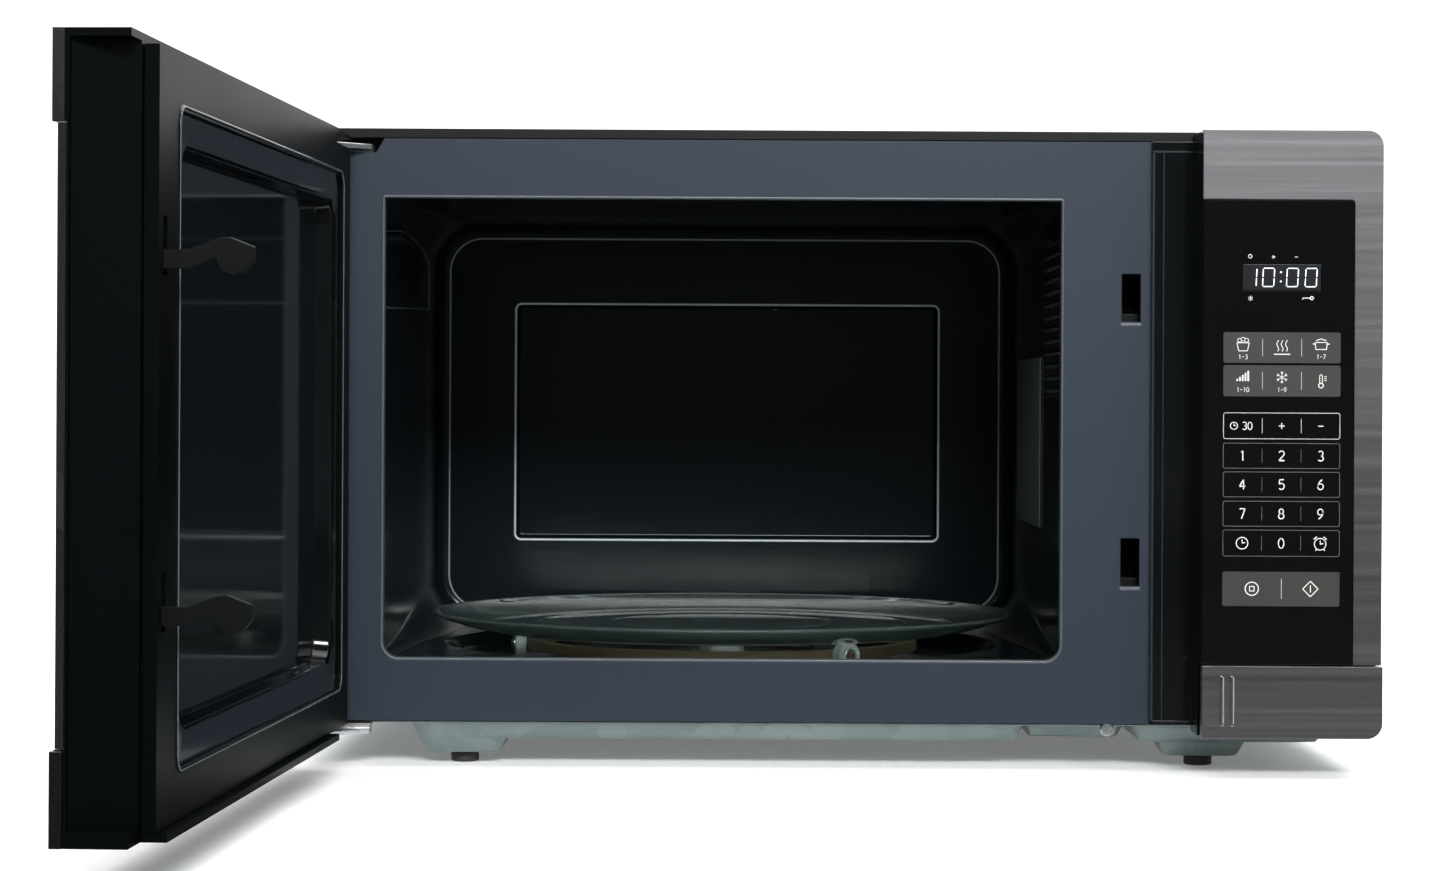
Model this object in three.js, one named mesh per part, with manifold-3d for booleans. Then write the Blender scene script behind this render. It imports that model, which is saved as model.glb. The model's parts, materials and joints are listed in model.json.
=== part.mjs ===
// Countertop microwave oven: a sheet-steel cabinet round a cooking cavity, a side-hinged door held by two
// hooks, a control panel with a push button that releases the door, and a glass tray on a roller ring.
// Millimetres, +Z up, +X to the right seen from the front, +Y towards the back.
// The pieces are placed in the cabinet's own frame: X = 0 on the cabinet's middle plane, Y = 0 on the
// front plate's face and Z = 0 on the surface that the feet stand on. The last lines move the whole
// object so that the origin is the middle of its bounding box's base, with the door open.
import * as THREE from "three";
import { mergeVertices } from "three/addons/utils/BufferGeometryUtils.js";
import Module from "manifold-3d";

const wasm = await Module();
wasm.setup();

// ---------------------------------------------------------------- driving dimensions

const cabinetWidth = 525;
const cabinetHeight = 314;
const cabinetDepth = 366;
const cabinetCornerRadius = 7;
const sheet = 0.8;
const fitGap = 0.3; // between pieces that touch on the real oven
const frontReturn = 4.6; // width of the cabinet's folded front edge

const openingLeftMargin = 39.3; // from the cabinet's left side
const latchStile = 42.8; // front plate between the opening and the panel's flange
const openingTopMargin = 32.8; // from the cabinet's top
const openingBottom = 52.4;
const openingLowerRadius = 9;
const openingUpperRadius = 1.5;
const frontPlateThickness = 1;
const frontPlateBottom = 22.7;

const cavityOversize = 2; // cavity walls stand this far outside the opening
const rearRoom = 28.2; // between the cavity's back end and the back of the cabinet
const floorStep = 1.9; // cavity floor below the opening's lower edge
const cavityBackEmboss = 6;
const recessDepth = 8;
const recessMargin = 7.5; // the tray reaches this far past the recess

const trayWallGap = 10.75; // between the tray and the nearest cavity wall
const trayThickness = 4.2;
const trayRimRise = 10.5;
const rollerRadius = 7;
const rollerWidth = 6;
const rollerBore = 2.1;
const axleRadius = 2;
const rollerInset = 40.5; // from the recess's edge to the middle of a roller
const rollerStartAngle = -174;
const rollerCount = 3;
const couplerRadius = 12;
const shaftRadius = 4;

const panelWidth = 86.85;
const faceDepth = 35; // door and panel faces stand this far in front of the front plate
const panelTopInset = 1.35; // below the cabinet's top
const panelBottom = 19.5;
const panelCornerRadius = 7.6;
const bandHeight = 33.65; // brushed band along the top of the panel and of the door
const sideStripWidth = 13.7;
const trimThickness = 1.2;
const panelWall = 2.5;
const buttonHeight = 34.7;
const buttonThickness = 7.2;
const buttonTravel = 5;
const buttonGap = 0.7;
const flangeWidth = 20.45; // black flange between the front plate's bare face and the panel's side
const flangeThickness = 2.7;

const doorPanelGap = 1.5;
const doorGap = 0.8; // between the closed door's inner face and the front plate
const doorBottom = 19.3;
const doorTopInset = 1.3; // below the cabinet's top
const doorOpenAngle = 93; // as stored
const plateauRise = 5.8; // the choke cover stands this far off the door's rim
const doorWall = 4;
const glassThickness = 3;
const glassSetBack = 1.8;
const pinFromSide = 10.2;
const pinFromFront = 16;
const pinRadius = 3;
const pinClearance = 0.4;
const hingeLeaf = 2.5;
const leafReach = 24; // from the pin to the leaf's inner edge
const hookFromPanel = 31.05; // from the panel's side to the middle of the hooks
const hookWidth = 4;
const hookReach = 33;
const upperHookDrop = 53.8; // below the top of the opening
const lowerHookRise = 44.4; // above the bottom of the opening
const hookArmHeight = 7.4;
const latchTravel = 4;
const latchSlotWidth = 9.2;
const latchSlotHeight = 23.4;

const footRadius = 7;
const footHeight = 5.5;
const footInset = 79; // from the cabinet's sides
const frontFootDepth = 30;
const rearFootInset = 36; // from the back of the cabinet
const panDrop = 0.7; // pan below the lower edge of the front plate
const shallowPressing = 8.4;

// ---------------------------------------------------------------- derived places

const sideX = cabinetWidth / 2;
const panelLeft = sideX - panelWidth;
const flangeLeft = panelLeft - flangeWidth;
const openingLeft = -sideX + openingLeftMargin;
const openingRight = flangeLeft - latchStile;
const openingTop = cabinetHeight - openingTopMargin;
const cavityLeft = openingLeft - cavityOversize;
const cavityRight = openingRight + cavityOversize;
const cavityTop = openingTop + cavityOversize;
const cavityFront = frontPlateThickness + fitGap;
const cavityBack = cabinetDepth - rearRoom;
const cavityFloorLevel = openingBottom - floorStep;
const trayX = (openingLeft + openingRight) / 2;
const trayY = (cavityFront + cavityBack) / 2;
const trayRadius = Math.min(cavityRight - cavityLeft, cavityBack - cavityFront) / 2 - trayWallGap;
const recessRadius = trayRadius - recessMargin;
const rollerCircle = recessRadius - rollerInset;
const recessFloor = cavityFloorLevel - recessDepth;
const rollerCentreZ = recessFloor + rollerRadius;
const trayBottom = recessFloor + 2 * rollerRadius + fitGap;
const panLevel = frontPlateBottom - panDrop;
const panelTop = cabinetHeight - panelTopInset;
const bandBottom = panelTop - bandHeight;
const buttonTop = panelBottom + buttonHeight;
const doorLeft = -sideX;
const doorRight = panelLeft - doorPanelGap;
const doorTop = cabinetHeight - doorTopInset;
const doorFace = -faceDepth;
const plateauFace = -doorGap;
const rimFace = plateauFace - plateauRise;
const glassFront = doorFace + glassSetBack;
const glassBack = glassFront + glassThickness;
const frameFront = doorFace + trimThickness + fitGap;
const frameWallFront = glassBack + fitGap;
const frameWallBack = frameWallFront + 3;
const plateauLeft = doorLeft + pinFromSide;
const plateauRight = flangeLeft - 0.5;
const plateauBottom = doorBottom + 3.3;
const plateauTop = doorTop - 3.7;
const windowMargin = 8;
const windowLeft = openingLeft - windowMargin;
const windowRight = openingRight + windowMargin;
const windowBottom = openingBottom - windowMargin - 2;
const windowTop = openingTop + windowMargin - 1;
const viewInset = 18; // the see-through field lies this far inside the inner window
const pinX = doorLeft + pinFromSide;
const pinY = -pinFromFront;
const hookX = panelLeft - hookFromPanel;
const upperHookFoot = openingTop - upperHookDrop;
const lowerHookFoot = openingBottom + lowerHookRise;
const upperLeafZ = doorTop - 9.2;
const lowerLeafZ = doorBottom - 0.5 - hingeLeaf;
const latchSlotX = hookX + 0.9;
const upperSlotBottom = upperHookFoot - 6.7;
const lowerSlotBottom = lowerHookFoot - 6.1;
const bayCentreX = (cavityRight + sideX) / 2; // middle of the component bay beside the cavity

// ---------------------------------------------------------------- finishes

const finish = (color, roughness, metalness) => new THREE.MeshStandardMaterial({ color, roughness, metalness });
const blackSheet = finish(0x1a1b1d, 0.45, 0.3);
const greyEnamel = finish(0x3c444c, 0.4, 0.2);
const cavityPaint = finish(0x1b2022, 0.3, 0.2);
const galvanised = finish(0x8c9698, 0.4, 0.9);
const darkSteel = finish(0x6c686a, 0.35, 0.9);
const blackPlastic = finish(0x101214, 0.4, 0);
const glossBlack = finish(0x060808, 0.1, 0);
const clearGlass = finish(0x9fb5ad, 0.05, 0);
const tintedGlass = finish(0x0a0c0d, 0.05, 0);
const rubber = finish(0x0c0c0c, 0.8, 0);
const brightSteel = finish(0xc8ccd0, 0.25, 1);
const whitePlastic = finish(0xdfe0dc, 0.5, 0);
const tanPlastic = finish(0x7a6450, 0.6, 0);
const micaSheet = finish(0x8c9184, 0.7, 0);
const copperWire = finish(0x9a5a32, 0.4, 0.8);
const coreSteel = finish(0x55585c, 0.5, 0.8);
const boardGreen = finish(0x2f4a34, 0.6, 0);

// ---------------------------------------------------------------- shape helpers

/** A closed geometry as a manifold solid. */
function solid(geometry) {
  const bare = new THREE.BufferGeometry();
  bare.setAttribute("position", geometry.getAttribute("position"));
  if (geometry.index) bare.setIndex(geometry.index);
  const merged = mergeVertices(bare, 1e-4);
  const mesh = new wasm.Mesh({
    numProp: 3,
    vertProperties: new Float32Array(merged.attributes.position.array),
    triVerts: new Uint32Array(merged.index.array),
  });
  return new wasm.Manifold(mesh);
}

/** A manifold solid as a geometry with flat faces. */
function geometryOf(body) {
  const mesh = body.getMesh();
  const geometry = new THREE.BufferGeometry();
  geometry.setAttribute("position", new THREE.BufferAttribute(mesh.vertProperties, 3));
  geometry.setIndex(new THREE.BufferAttribute(mesh.triVerts, 1));
  const flat = geometry.toNonIndexed();
  flat.computeVertexNormals();
  return flat;
}

/** A box between two opposite corners. */
function block([x0, y0, z0], [x1, y1, z1]) {
  const box = new THREE.BoxGeometry(x1 - x0, y1 - y0, z1 - z0);
  return solid(box.translate((x0 + x1) / 2, (y0 + y1) / 2, (z0 + z1) / 2));
}

/** A box that tapers from its upper rectangle to its lower one; each rectangle is [x0, y0, x1, y1]. */
function taperedBlock(upper, upperZ, lower, lowerZ) {
  const corners = ([x0, y0, x1, y1], z) => [x0, y0, z, x1, y0, z, x1, y1, z, x0, y1, z];
  const geometry = new THREE.BufferGeometry();
  const points = [...corners(lower, lowerZ), ...corners(upper, upperZ)];
  geometry.setAttribute("position", new THREE.Float32BufferAttribute(points, 3));
  const faces = [0, 2, 1, 0, 3, 2, 4, 5, 6, 4, 6, 7];
  for (let side = 0; side < 4; side += 1) {
    const next = (side + 1) % 4;
    faces.push(side, next, next + 4, side, next + 4, side + 4);
  }
  geometry.setIndex(faces);
  return solid(geometry);
}

/** An outline in X and Z, given a thickness along Y. */
function frontPanel(outline, y0, y1, curveSegments = 6) {
  const geometry = new THREE.ExtrudeGeometry(outline, { depth: y1 - y0, bevelEnabled: false, curveSegments });
  return solid(geometry.rotateX(Math.PI / 2).translate(0, y1, 0));
}

/** An outline in X and Y, given a height along Z. */
function floorPanel(outline, z0, z1, curveSegments = 12) {
  const geometry = new THREE.ExtrudeGeometry(outline, { depth: z1 - z0, bevelEnabled: false, curveSegments });
  return solid(geometry.translate(0, 0, z0));
}

/** An outline in Y and Z, given a width along X. */
function sidePanel(outline, x0, x1, curveSegments = 6) {
  const geometry = new THREE.ExtrudeGeometry(outline, { depth: x1 - x0, bevelEnabled: false, curveSegments });
  const turn = new THREE.Matrix4().makeBasis(
    new THREE.Vector3(0, 1, 0),
    new THREE.Vector3(0, 0, 1),
    new THREE.Vector3(1, 0, 0),
  );
  return solid(geometry.applyMatrix4(turn).translate(x0, 0, 0));
}

/** A rod or disc along an axis, "x", "y" or "z", from a start point. */
function rod(axis, [x, y, z], length, radius, sides = 24) {
  const geometry = new THREE.CylinderGeometry(radius, radius, length, sides);
  if (axis === "x") geometry.rotateZ(-Math.PI / 2).translate(length / 2, 0, 0);
  if (axis === "y") geometry.translate(0, length / 2, 0);
  if (axis === "z") geometry.rotateX(Math.PI / 2).translate(0, 0, length / 2);
  return solid(geometry.translate(x, y, z));
}

/** A closed profile of [radius, height] points turned about the Z axis. */
function turned(profile, sides = 48) {
  const points = profile.map(([radius, height]) => new THREE.Vector2(radius, height));
  const geometry = new THREE.LatheGeometry(points, sides);
  return solid(geometry.rotateX(Math.PI / 2));
}

/** A rectangle with its own radius at each corner: lower left, lower right, upper right, upper left. */
function roundedRectangle(x0, z0, x1, z1, radii) {
  const [lowerLeft, lowerRight, upperRight, upperLeft] = radii;
  const outline = new THREE.Shape();
  outline.moveTo(x0 + lowerLeft, z0);
  outline.lineTo(x1 - lowerRight, z0);
  if (lowerRight) outline.absarc(x1 - lowerRight, z0 + lowerRight, lowerRight, -Math.PI / 2, 0);
  outline.lineTo(x1, z1 - upperRight);
  if (upperRight) outline.absarc(x1 - upperRight, z1 - upperRight, upperRight, 0, Math.PI / 2);
  outline.lineTo(x0 + upperLeft, z1);
  if (upperLeft) outline.absarc(x0 + upperLeft, z1 - upperLeft, upperLeft, Math.PI / 2, Math.PI);
  outline.lineTo(x0, z0 + lowerLeft);
  if (lowerLeft) outline.absarc(x0 + lowerLeft, z0 + lowerLeft, lowerLeft, Math.PI, 1.5 * Math.PI);
  return outline;
}

/** An outline through plain points. */
const polygon = (points) => new THREE.Shape(points.map(([a, b]) => new THREE.Vector2(a, b)));

const joined = (bodies) => bodies.reduce((whole, body) => whole.add(body));
const cutBy = (body, tools) => tools.reduce((rest, tool) => rest.subtract(tool), body);

/** Adds one named piece to a group. */
function addPiece(group, name, body, material) {
  const mesh = new THREE.Mesh(geometryOf(body), material);
  mesh.name = name;
  group.add(mesh);
  return mesh;
}

// ---------------------------------------------------------------- cabinet shell

const louvreCount = 14;
const louvrePitch = 9;
const louvreHeight = 46;
const louvreWidth = 3.2;
const louvreStart = cabinetDepth - 176;
const louvreLevel = 66;

/** The cabinet's wrapper section, inset by a distance and open or closed at the bottom. */
function wrapperOutline(inset, bottom) {
  const radius = Math.max(cabinetCornerRadius - inset, 0.5);
  return roundedRectangle(-sideX + inset, bottom, sideX - inset, cabinetHeight - inset, [0, 0, radius, radius]);
}

function outerCabinet() {
  const shell = frontPanel(wrapperOutline(0, frontPlateBottom), 0, cabinetDepth);
  const inside = frontPanel(wrapperOutline(sheet, 0), sheet, cabinetDepth + 1);
  const frontHole = frontPanel(wrapperOutline(frontReturn, 0), -1, sheet + 1);
  const louvres = [];
  for (let row = 0; row < louvreCount; row += 1) {
    const y = louvreStart + row * louvrePitch;
    louvres.push(block([-sideX - 1, y, louvreLevel], [sideX + 1, y + louvreWidth, louvreLevel + louvreHeight]));
  }
  return cutBy(shell, [inside, frontHole, ...louvres]);
}

const rearVentCount = 12;
const rearVentPitch = 8;
const glandRadius = 8;
const glandX = sideX - 57.5;
const glandZ = 60;
const rearVentInset = 132.5; // from the cabinet's sides to the first slot
const screwInset = 27.5;

function rearPanel() {
  const inset = sheet + fitGap;
  const plate = frontPanel(wrapperOutline(inset, frontPlateBottom + 1), cabinetDepth - 1, cabinetDepth - 1 + sheet);
  const vents = [];
  for (let column = 0; column < rearVentCount; column += 1) {
    const x = sideX - rearVentInset + column * rearVentPitch;
    vents.push(block([x, cabinetDepth - 3, 95], [x + 3, cabinetDepth + 1, 150]));
    vents.push(block([-x - 3, cabinetDepth - 3, 215], [-x, cabinetDepth + 1, 260]));
  }
  const glandHole = rod("y", [glandX, cabinetDepth - 5, glandZ], 10, glandRadius + fitGap);
  return cutBy(plate, [...vents, glandHole]);
}

function cordGland() {
  const barrel = rod("y", [glandX, cabinetDepth - 9, glandZ], 9 + 2, glandRadius);
  const collar = rod("y", [glandX, cabinetDepth + fitGap, glandZ], 3, glandRadius + 3);
  const bore = rod("y", [glandX, cabinetDepth - 12, glandZ], 20, 3.5);
  return cutBy(barrel.add(collar), [bore]);
}

/** A pan-head screw that stands off the rear panel. */
function rearScrew(x, z) {
  return rod("y", [x, cabinetDepth - 1 + sheet + fitGap, z], 2, 3.6, 12);
}

function frontPlate() {
  const edge = frontReturn + fitGap;
  const outline = roundedRectangle(-sideX + edge, frontPlateBottom, sideX - edge, cabinetHeight - edge, [0, 0, 2, 0]);
  const plate = frontPanel(outline, 0, frontPlateThickness);
  const opening = roundedRectangle(openingLeft, openingBottom, openingRight, openingTop, [
    openingLowerRadius,
    openingLowerRadius,
    openingUpperRadius,
    openingUpperRadius,
  ]);
  const hingeNotch = polygon([
    [-sideX, upperLeafZ - 1.5],
    [pinX + leafReach + 1.8, upperLeafZ - 1.5],
    [pinX + leafReach + 9, cabinetHeight],
    [-sideX, cabinetHeight],
  ]);
  const slots = [upperSlotBottom, lowerSlotBottom].map((bottom) =>
    block(
      [latchSlotX - latchSlotWidth / 2, -1, bottom],
      [latchSlotX + latchSlotWidth / 2, frontPlateThickness + 1, bottom + latchSlotHeight],
    ),
  );
  const behindPanel = block([panelLeft + 9, -1, 30], [sideX - 16, frontPlateThickness + 1, panelTop - 16]);
  return cutBy(plate, [frontPanel(opening, -1, 3), frontPanel(hingeNotch, -1, 3), behindPanel, ...slots]);
}

// Pressed areas of the base pan, as [left, front, right, back] at the pan's level.
const panFront = 6;
const panBack = cabinetDepth - 3;
const pressedBack = cabinetDepth - 11;
const shallowAreas = [
  [-sideX + 56.5, panFront + 1, sideX - 166.5, pressedBack],
  [sideX - 167.5, panFront + 22, sideX - 114.5, pressedBack],
  [sideX - 115.5, panFront + 1, sideX - 16.5, pressedBack],
];
const footPressing = panLevel - footHeight - 0.5;

function footCentres() {
  const half = sideX - footInset;
  const rearFootDepth = cabinetDepth - rearFootInset;
  return [
    ["front_left_foot", -half, frontFootDepth],
    ["front_right_foot", half, frontFootDepth],
    ["rear_left_foot", -half, rearFootDepth],
    ["rear_right_foot", half, rearFootDepth],
  ];
}

/** The base pan: a flat sheet with shallow pressings, and a deeper one round each foot. */
function basePan() {
  const edge = sheet + fitGap;
  const level = block([-sideX + edge, panFront, panLevel - sheet], [sideX - edge, panBack, panLevel]);
  const grow = ([x0, y0, x1, y1], by) => [x0 - by, y0 - by, x1 + by, y1 + by];
  const pressings = shallowAreas.map((area) => ({ area, depth: shallowPressing, draft: 5 }));
  footCentres().forEach(([, x, y]) =>
    pressings.push({ area: [x - 27, y - 22, x + 27, y + 22], depth: footPressing, draft: 8 }),
  );
  const outside = pressings.map(({ area, depth, draft }) =>
    taperedBlock(area, panLevel - sheet / 2, grow(area, -draft), panLevel - depth),
  );
  const inside = pressings.map(({ area, depth, draft }) =>
    taperedBlock(grow(area, -sheet), panLevel + sheet, grow(area, -draft - sheet), panLevel - depth + sheet),
  );
  const holes = footCentres().map(([, x, y]) => rod("z", [x, y, 0], panLevel, 3.4, 16));
  return cutBy(joined([level, ...outside]), [...inside, ...holes]);
}

/** A foot: a puck under the pan with a stem through it. */
function foot(x, y) {
  const puck = rod("z", [x, y, 0], footHeight, footRadius, 32);
  const stem = rod("z", [x, y, footHeight - 1], 5, 3, 16);
  return puck.add(stem);
}

// ---------------------------------------------------------------- cooking cavity

const coverLength = 140; // cover over the microwave inlet in the right wall
const coverHeight = 91;
const coverBackInset = 60.8; // from the cavity's back end
const coverRise = 61.6; // above the opening's lower edge
const inletInset = 12;
const coverBack = cavityBack - coverBackInset;
const coverFront = coverBack - coverLength;
const coverBottom = openingBottom + coverRise;
const coverTop = coverBottom + coverHeight;

/** Roof and both sides of the cavity, bent from one sheet. */
function cavityWrap() {
  const outer = block(
    [cavityLeft - sheet, cavityFront, cavityFloorLevel - sheet],
    [cavityRight + sheet, cavityBack, cavityTop + sheet],
  );
  const inner = block([cavityLeft, cavityFront - 1, 0], [cavityRight, cavityBack + 1, cavityTop]);
  const inlet = block(
    [cavityRight - 2, coverFront + inletInset, coverBottom + inletInset],
    [cavityRight + 2, coverBack - inletInset, coverTop - inletInset],
  );
  return cutBy(outer, [inner, inlet]);
}

/** The cavity floor, with the round recess that the rollers run in. */
function cavityFloor() {
  const plate = block(
    [cavityLeft + fitGap, cavityFront, cavityFloorLevel - sheet],
    [cavityRight - fitGap, cavityBack, cavityFloorLevel],
  );
  const dish = rod("z", [trayX, trayY, recessFloor - sheet], recessDepth, recessRadius + sheet, 64);
  const hollow = rod("z", [trayX, trayY, recessFloor], recessDepth + 1, recessRadius, 64);
  const shaftHole = rod("z", [trayX, trayY, recessFloor - 2], 5, shaftRadius + 2.5);
  return cutBy(plate.add(dish), [hollow, shaftHole]);
}

/** The back wall, with a raised centre field. */
function cavityBackWall() {
  const y = cavityBack + fitGap;
  const left = cavityLeft - sheet;
  const right = cavityRight + sheet;
  const wall = block([left, y, cavityFloorLevel - sheet], [right, y + sheet, cavityTop + sheet]);
  const fieldHalfWidth = (cavityRight - cavityLeft) / 2 - 46.8;
  const fieldBottom = openingBottom + 45.1;
  const fieldTop = openingTop - 43.7;
  const outside = block(
    [trayX - fieldHalfWidth, y, fieldBottom],
    [trayX + fieldHalfWidth, y + cavityBackEmboss, fieldTop],
  );
  const inside = block(
    [trayX - fieldHalfWidth + sheet, y - 1, fieldBottom + sheet],
    [trayX + fieldHalfWidth - sheet, y + cavityBackEmboss - sheet, fieldTop - sheet],
  );
  return cutBy(wall.add(outside), [inside]);
}

/** The mica sheet that closes the microwave inlet. */
function waveguideCover() {
  return block([cavityRight - fitGap - 0.5, coverFront, coverBottom], [cavityRight - fitGap, coverBack, coverTop]);
}

// ---------------------------------------------------------------- turntable

/** Tray, coupler and roller ring profiles are turned about the tray's own axis. */
function glassTray() {
  const top = trayBottom + trayThickness;
  const rim = trayBottom + trayRimRise;
  const dish = turned([
    [0, trayBottom],
    [trayRadius - 31.5, trayBottom],
    [trayRadius - 25.5, trayBottom + 1.2],
    [trayRadius - 6, rim - trayThickness],
    [trayRadius, rim - 2.6],
    [trayRadius, rim - 0.6],
    [trayRadius - 2, rim],
    [trayRadius - 8, rim - 1.2],
    [trayRadius - 26.5, top + 1],
    [trayRadius - 33.5, top],
    [0, top],
  ]);
  const lugs = [];
  for (let lug = 0; lug < 3; lug += 1) {
    const peg = rod("z", [couplerRadius + 8, 0, trayBottom - 4.5], 5, 3, 12);
    lugs.push(peg.rotate([0, 0, 60 + lug * 120]));
  }
  return joined([dish, ...lugs]);
}

/** The drive coupler: a hub with three arms that catch the tray's lugs. */
function driveCoupler() {
  const top = trayBottom - fitGap;
  const hub = rod("z", [0, 0, recessFloor + 1.5], top - recessFloor - 1.5, couplerRadius, 32);
  const arms = [];
  for (let arm = 0; arm < 3; arm += 1) {
    const bar = block([0, -4, top - 6], [couplerRadius + 14, 4, top]);
    arms.push(bar.rotate([0, 0, arm * 120]));
  }
  const shaft = rod("z", [0, 0, recessFloor - 6], 9, shaftRadius, 16);
  return joined([hub, shaft, ...arms]);
}

/** The roller ring: a flat ring with a stub axle for each roller. */
function rollerRing() {
  const outerRadius = rollerCircle - rollerWidth / 2 - 1;
  const ring = rod("z", [0, 0, rollerCentreZ - 2.6], 5.2, outerRadius, 64);
  const hole = rod("z", [0, 0, rollerCentreZ - 4], 8, outerRadius - 7, 64);
  const axles = [];
  for (let roller = 0; roller < rollerCount; roller += 1) {
    const axle = rod("x", [outerRadius - 2, 0, rollerCentreZ], rollerWidth + 5, axleRadius, 16);
    axles.push(axle.rotate([0, 0, rollerStartAngle + roller * (360 / rollerCount)]));
  }
  return cutBy(ring, [hole]).add(joined(axles));
}

/** A roller, on its own axle along X. */
function roller() {
  const wheel = rod("x", [rollerCircle - rollerWidth / 2, 0, rollerCentreZ], rollerWidth, rollerRadius, 32);
  const bore = rod("x", [rollerCircle - rollerWidth, 0, rollerCentreZ], 2 * rollerWidth, rollerBore, 24);
  return wheel.subtract(bore);
}

function turntableMotor() {
  const top = recessFloor - sheet - fitGap - 0.5;
  const can = rod("z", [trayX, trayY, panLevel + 1.5], top - panLevel - 1.5, 24, 40);
  const ears = block([trayX - 32, trayY - 6, top - 1.5], [trayX + 32, trayY + 6, top]);
  const shaftSeat = rod("z", [trayX, trayY, top - 6], 10, shaftRadius + 0.4, 24);
  return cutBy(can.add(ears), [shaftSeat]);
}

// ---------------------------------------------------------------- microwave source, fan and electrics

const guideTop = coverTop + 1;
const guideWidth = 42;
const antennaY = (coverFront + coverBack) / 2;
const antennaZ = coverBottom + 58;
const antennaRadius = 9;

function waveguide() {
  const x = cavityRight + sheet + fitGap;
  const outer = block([x, coverFront + 4, coverBottom + 4], [x + guideWidth, coverBack - 4, guideTop]);
  const inner = block([x - 1, coverFront + 5.2, coverBottom + 5.2], [x + guideWidth - 1.2, coverBack - 5.2, guideTop - 1.2]);
  const antennaHole = rod("x", [x + guideWidth - 5, antennaY, antennaZ], 10, antennaRadius + 3);
  return cutBy(outer, [inner, antennaHole]);
}

function magnetron() {
  const x = cavityRight + sheet + 2 * fitGap + guideWidth;
  const finPlate = (x0, x1) => block([x0, antennaY - 40, antennaZ - 38], [x1, antennaY + 40, antennaZ + 38]);
  const antenna = rod("x", [x - 20, antennaY, antennaZ], 24, antennaRadius);
  const core = rod("x", [x + 2, antennaY, antennaZ], 62, 20, 32);
  const fins = [finPlate(x, x + 3)];
  for (let fin = 0; fin < 6; fin += 1) fins.push(finPlate(x + 14 + fin * 7, x + 16 + fin * 7));
  const filterBox = block([x + 56, antennaY - 35, antennaZ - 30], [x + 76, antennaY + 35, antennaZ + 30]);
  return joined([core, antenna, filterBox, ...fins]);
}

// High-voltage transformer: a laminated core with two windows, and a winding through each window.
const coreLeft = sideX - 94.5;
const coreRight = sideX - 16.5;
const coreFront = 70;
const coreBack = 140;
const coreHeight = 65;
const windowDepth = 42;
const windowHeight = 13;
const windowLevels = [panLevel + 14, panLevel + 40];

function transformerCore() {
  const core = block([coreLeft, coreFront, panLevel + 1], [coreRight, coreBack, panLevel + 1 + coreHeight]);
  const y = (coreFront + coreBack) / 2;
  const windows = windowLevels.map((z) =>
    block([coreLeft - 5, y - windowDepth / 2, z], [coreRight + 5, y + windowDepth / 2, z + windowHeight]),
  );
  return cutBy(core, windows);
}

function transformerWinding(z) {
  const y = (coreFront + coreBack) / 2;
  const half = windowDepth / 2 - 0.5;
  return block([coreLeft - 12, y - half, z + 0.5], [coreRight + 6, y + half, z + windowHeight - 0.5]);
}

function capacitor() {
  const left = sideX - 66.5;
  const front = coreBack + 30;
  const can = roundedRectangle(left, front, left + 32, front + 54, [14, 14, 14, 14]);
  return floorPanel(can, panLevel + 1, panLevel + 74);
}

const fanX = bayCentreX;
const fanY = cabinetDepth - 44;
const fanZ = 122;
const fanRadius = 48;

function fanShroud() {
  const plate = block([fanX - 60, fanY, fanZ - 60], [fanX + 60, fanY + 2, fanZ + 60]);
  const duct = rod("y", [fanX, fanY, fanZ], 18, fanRadius + 5, 40);
  const hole = rod("y", [fanX, fanY - 1, fanZ], 25, fanRadius + 3, 40);
  return cutBy(plate.add(duct), [hole]);
}

/** The fan, on an axis along Y: a hub with twisted blades. */
function fanBlade() {
  const hub = rod("y", [0, 4, 0], 14, 13, 24);
  const bore = rod("y", [0, 8, 0], 14, 3.2, 16);
  const blades = [];
  for (let blade = 0; blade < 5; blade += 1) {
    const vane = block([8, -1, -13], [fanRadius, 1, 13]).rotate([32, 0, 0]).translate([0, 11, 0]);
    blades.push(vane.rotate([0, blade * 72, 0]));
  }
  return cutBy(joined([hub, ...blades]), [bore]);
}

function fanMotor() {
  const can = block([fanX - 24, fanY + 21, fanZ - 22], [fanX + 24, fanY + 36, fanZ + 22]);
  const shaft = rod("y", [fanX, fanY + 9.5, fanZ], 14, 2.6, 16);
  return can.add(shaft);
}

function noiseFilter() {
  const right = sideX - 10.5;
  const back = cabinetDepth - 6;
  const level = cabinetHeight - 64;
  const board = block([right - 56, back - 60, level], [right, back, level + 1.6]);
  const choke = rod("z", [right - 38, back - 30, level + 1.4], 18, 12, 24);
  const can = block([right - 22, back - 45, level + 1.4], [right - 6, back - 10, level + 18]);
  return joined([board, choke, can]);
}

// The lamp and its holder, outside the vented part of the right wall.
const lampY = 70;
const lampZ = openingTop - 42.2;
const lampHolderX = cavityRight + 22;

const lampHolder = () =>
  block([lampHolderX, lampY - 15, lampZ - 15], [lampHolderX + 18, lampY + 15, lampZ + 15]);
const cavityLamp = () => rod("x", [lampHolderX - 16, lampY, lampZ], 16 - fitGap, 9, 24);

// ---------------------------------------------------------------- door latch in the cabinet

const bracketX = latchSlotX + latchSlotWidth / 2 + 2;
const bracketBottom = lowerHookFoot - 14.8;
const bracketTop = upperHookFoot + 28.6;
const switchHeight = 16;
const middleSwitch = (lowerHookFoot + upperHookFoot) / 2 - 2.1;
const switchLevels = [middleSwitch - 24, middleSwitch, middleSwitch + 24];

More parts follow.
